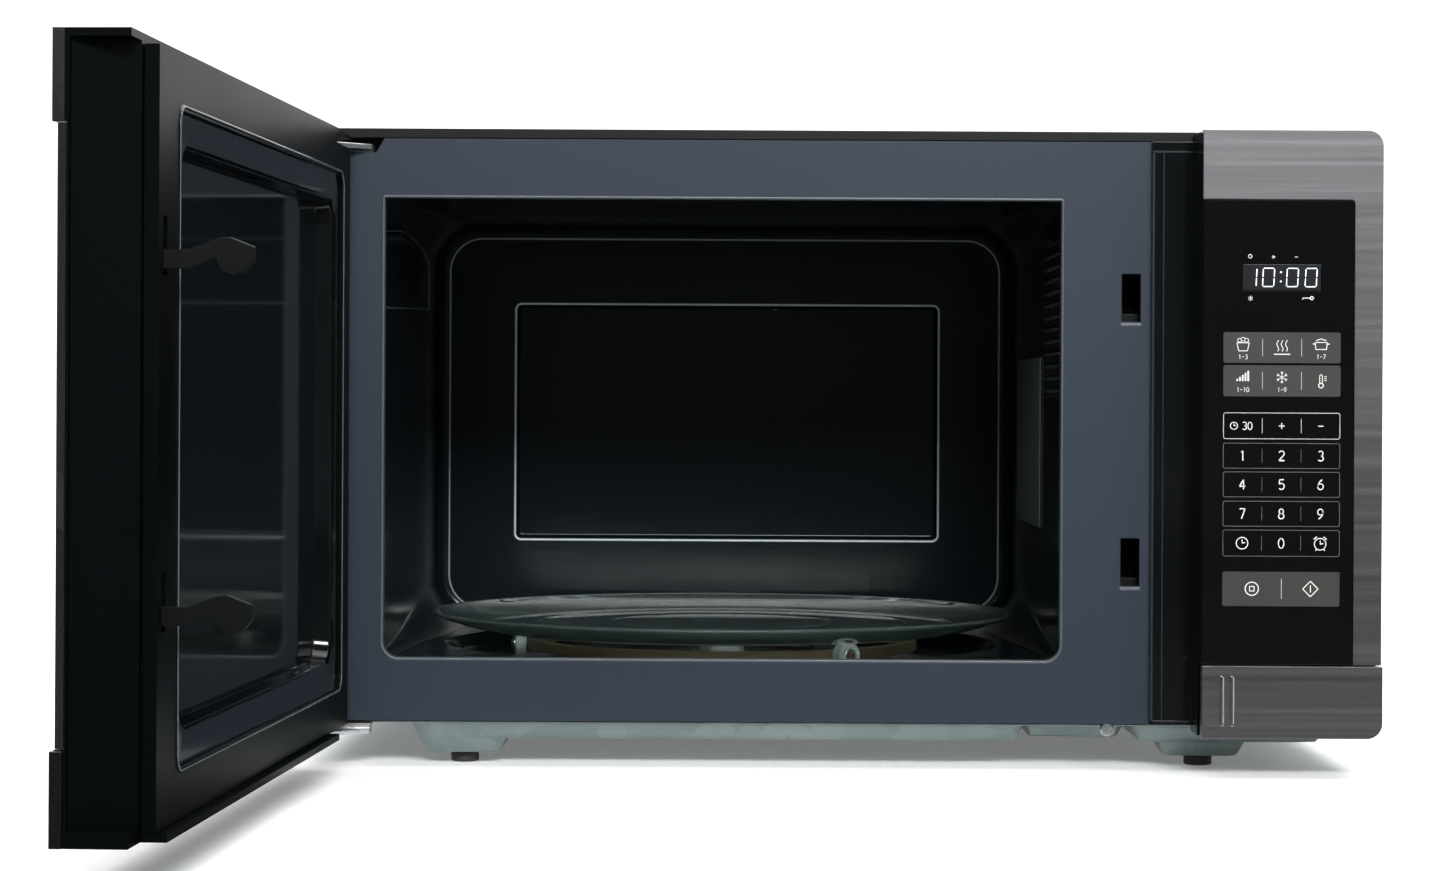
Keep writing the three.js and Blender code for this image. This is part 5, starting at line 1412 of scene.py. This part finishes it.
def inside_parts():
    """The parts in the bay beside the cavity and behind it."""
    finished_node("waveguide", CHASSIS_ZINC, "cabinet", 0.4)
    finished_node("magnetron", ALUMINIUM_FINS, "cabinet", 0.3)
    finished_node("transformer_core", CORE_VARNISH, "cabinet", 0.5)
    finished_node("primary_winding", COPPER_WIRE, "cabinet", 2.0, 3)
    finished_node("secondary_winding", COPPER_WIRE, "cabinet", 2.0, 3)
    finished_node("capacitor", DULL_CAN, "cabinet", 0.8)
    finished_node("fan_shroud", BLACK_MOULDING, "cabinet", 0.4)
    finished_node("fan_motor", CORE_VARNISH, "cabinet", 0.5)
    finished_node("fan_blade", WHITE_MOULDING, "fan", 0.3)
    finished_node("noise_filter", BOARD_MASK, "cabinet", 0.3)
    finished_node("lamp_holder", WHITE_MOULDING, "cabinet", 0.6)
    finished_node("cavity_lamp", LAMP_GLASS, "cabinet", 1.5, 3)


# ------------------------------------------------------------------ studio


def camera():
    """A long lens at half the cabinet's height, nearly square to its front."""
    data = bpy.data.cameras.new("camera")
    data.sensor_width = 36
    data.lens = 81.86
    data.shift_x, data.shift_y = -0.01074, -0.02302
    data.clip_end = 30
    place = bpy.data.objects.new("camera", data)
    bpy.context.scene.collection.objects.link(place)
    stand = Matrix.Translation(row_frame((-49.97, -1606.49, 179.96)))
    level, roll = Matrix.Rotation(math.radians(90), 4, "X"), Matrix.Rotation(math.radians(0.298), 4, "Z")
    place.matrix_world = stand @ level @ roll
    bpy.context.scene.camera = place


def softbox(name, place, target, size, power, spread=180):
    """A rectangular light; a small spread keeps its beam off the floor in front."""
    data = bpy.data.lights.new(name, "AREA")
    data.shape = "RECTANGLE"
    data.size, data.size_y = size
    data.energy = power
    data.spread = math.radians(spread)
    light = bpy.data.objects.new(name, data)
    light.location = place
    light.visible_camera = False
    light.rotation_euler = (Vector(target) - Vector(place)).to_track_quat("-Z", "Y").to_euler()
    bpy.context.scene.collection.objects.link(light)


def open_from_behind(material):
    """Lets a view from behind the backdrop pass through it."""
    tree = material.node_tree
    side = add_node(tree, "ShaderNodeNewGeometry")
    front = worked_out(tree, "SUBTRACT", 1.0, side.outputs["Backfacing"])
    plug(tree, tree.nodes["Principled BSDF"], {"Alpha": front})


def studio_world():
    """Dim cool light from all round; a bare background is seen as pale."""
    world = bpy.data.worlds.new("studio")
    world.use_nodes = True
    tree = world.node_tree
    seen = add_node(tree, "ShaderNodeLightPath").outputs["Is Camera Ray"]
    strength = add_node(tree, "ShaderNodeMath", {0: seen, 1: 1.1, 2: 0.14}, operation="MULTIPLY_ADD")
    plug(tree, tree.nodes["Background"], {"Color": (0.82, 0.94, 1.0, 1), "Strength": strength.outputs[0]})
    bpy.context.scene.world = world


def studio():
    """A pale floor that sweeps up into a backdrop, a felt flag that keeps its glare off, and the lights."""
    start, sweep = 2.2, 1.4
    turns = [math.radians(angle) for angle in range(10, 91, 10)]
    profile = [(-7.0, 0.0), (start, 0.0)]
    profile += [(start + sweep * math.sin(turn), sweep - sweep * math.cos(turn)) for turn in turns]
    profile.append((start + sweep, 7.0))
    bm = bmesh.new()
    left, right = ([bm.verts.new((x, y, z - 0.0002)) for y, z in profile] for x in (-7, 7))
    for index in range(len(profile) - 1):
        bm.faces.new((left[index], right[index], right[index + 1], left[index + 1]))
    floor = piece_from(bm, "studio_floor")
    floor.data.shade_smooth()
    glow = {"Emission Color": (1, 1, 1, 1), "Emission Strength": 0.15}
    paper = skinned("studio paper", (0.86, 0.86, 0.86), (0.88, 0.88, 0.88), (0.8, 0.9), 300, 0.01, **glow)
    open_from_behind(paper)
    floor.data.materials.append(paper)
    bm = bmesh.new()
    outline = ((-2.5, -3.6), (2.5, -3.6), (2.5, -0.03), (-2.5, -0.03))
    bm.faces.new([bm.verts.new((x, y, 0.002)) for x, y in outline])
    flag = piece_from(bm, "front_flag")
    felt = skinned("flag felt", (0.012, 0.012, 0.012), (0.016, 0.016, 0.016), (0.9, 1.0), 300, 0.01)
    flag.data.materials.append(felt)
    for seen_by in ("camera", "diffuse", "shadow", "transmission"):
        setattr(flag, "visible_" + seen_by, False)
    studio_world()
    softbox("overhead box", (0.1, 0.35, 2.3), (0, 0.1, 0.1), (4.6, 2.6), 56, 120)
    softbox("left box", (-1.9, -2.2, 1.7), (0, 0, 0.2), (0.4, 1.2), 0.6, 50)
    softbox("right box", (2.2, -2.0, 1.4), (0, 0.1, 0.2), (0.4, 1.4), 1.6, 50)
    softbox("front box", (0.5, -3.2, 1.75), (0, 0, 0.26), (2.2, 0.7), 12, 40)
    softbox("backdrop box", (0.0, 1.5, 3.2), (0, 3.2, 0.9), (5.0, 1.0), 150)
    bpy.context.scene.view_settings.view_transform = "Standard"


camera()
cabinet_shell()
rear_screws()
front_plate()
cavity_liner()
cavity_vents()
turntable()
control_panel()
door()
fittings()
inside_parts()
studio()
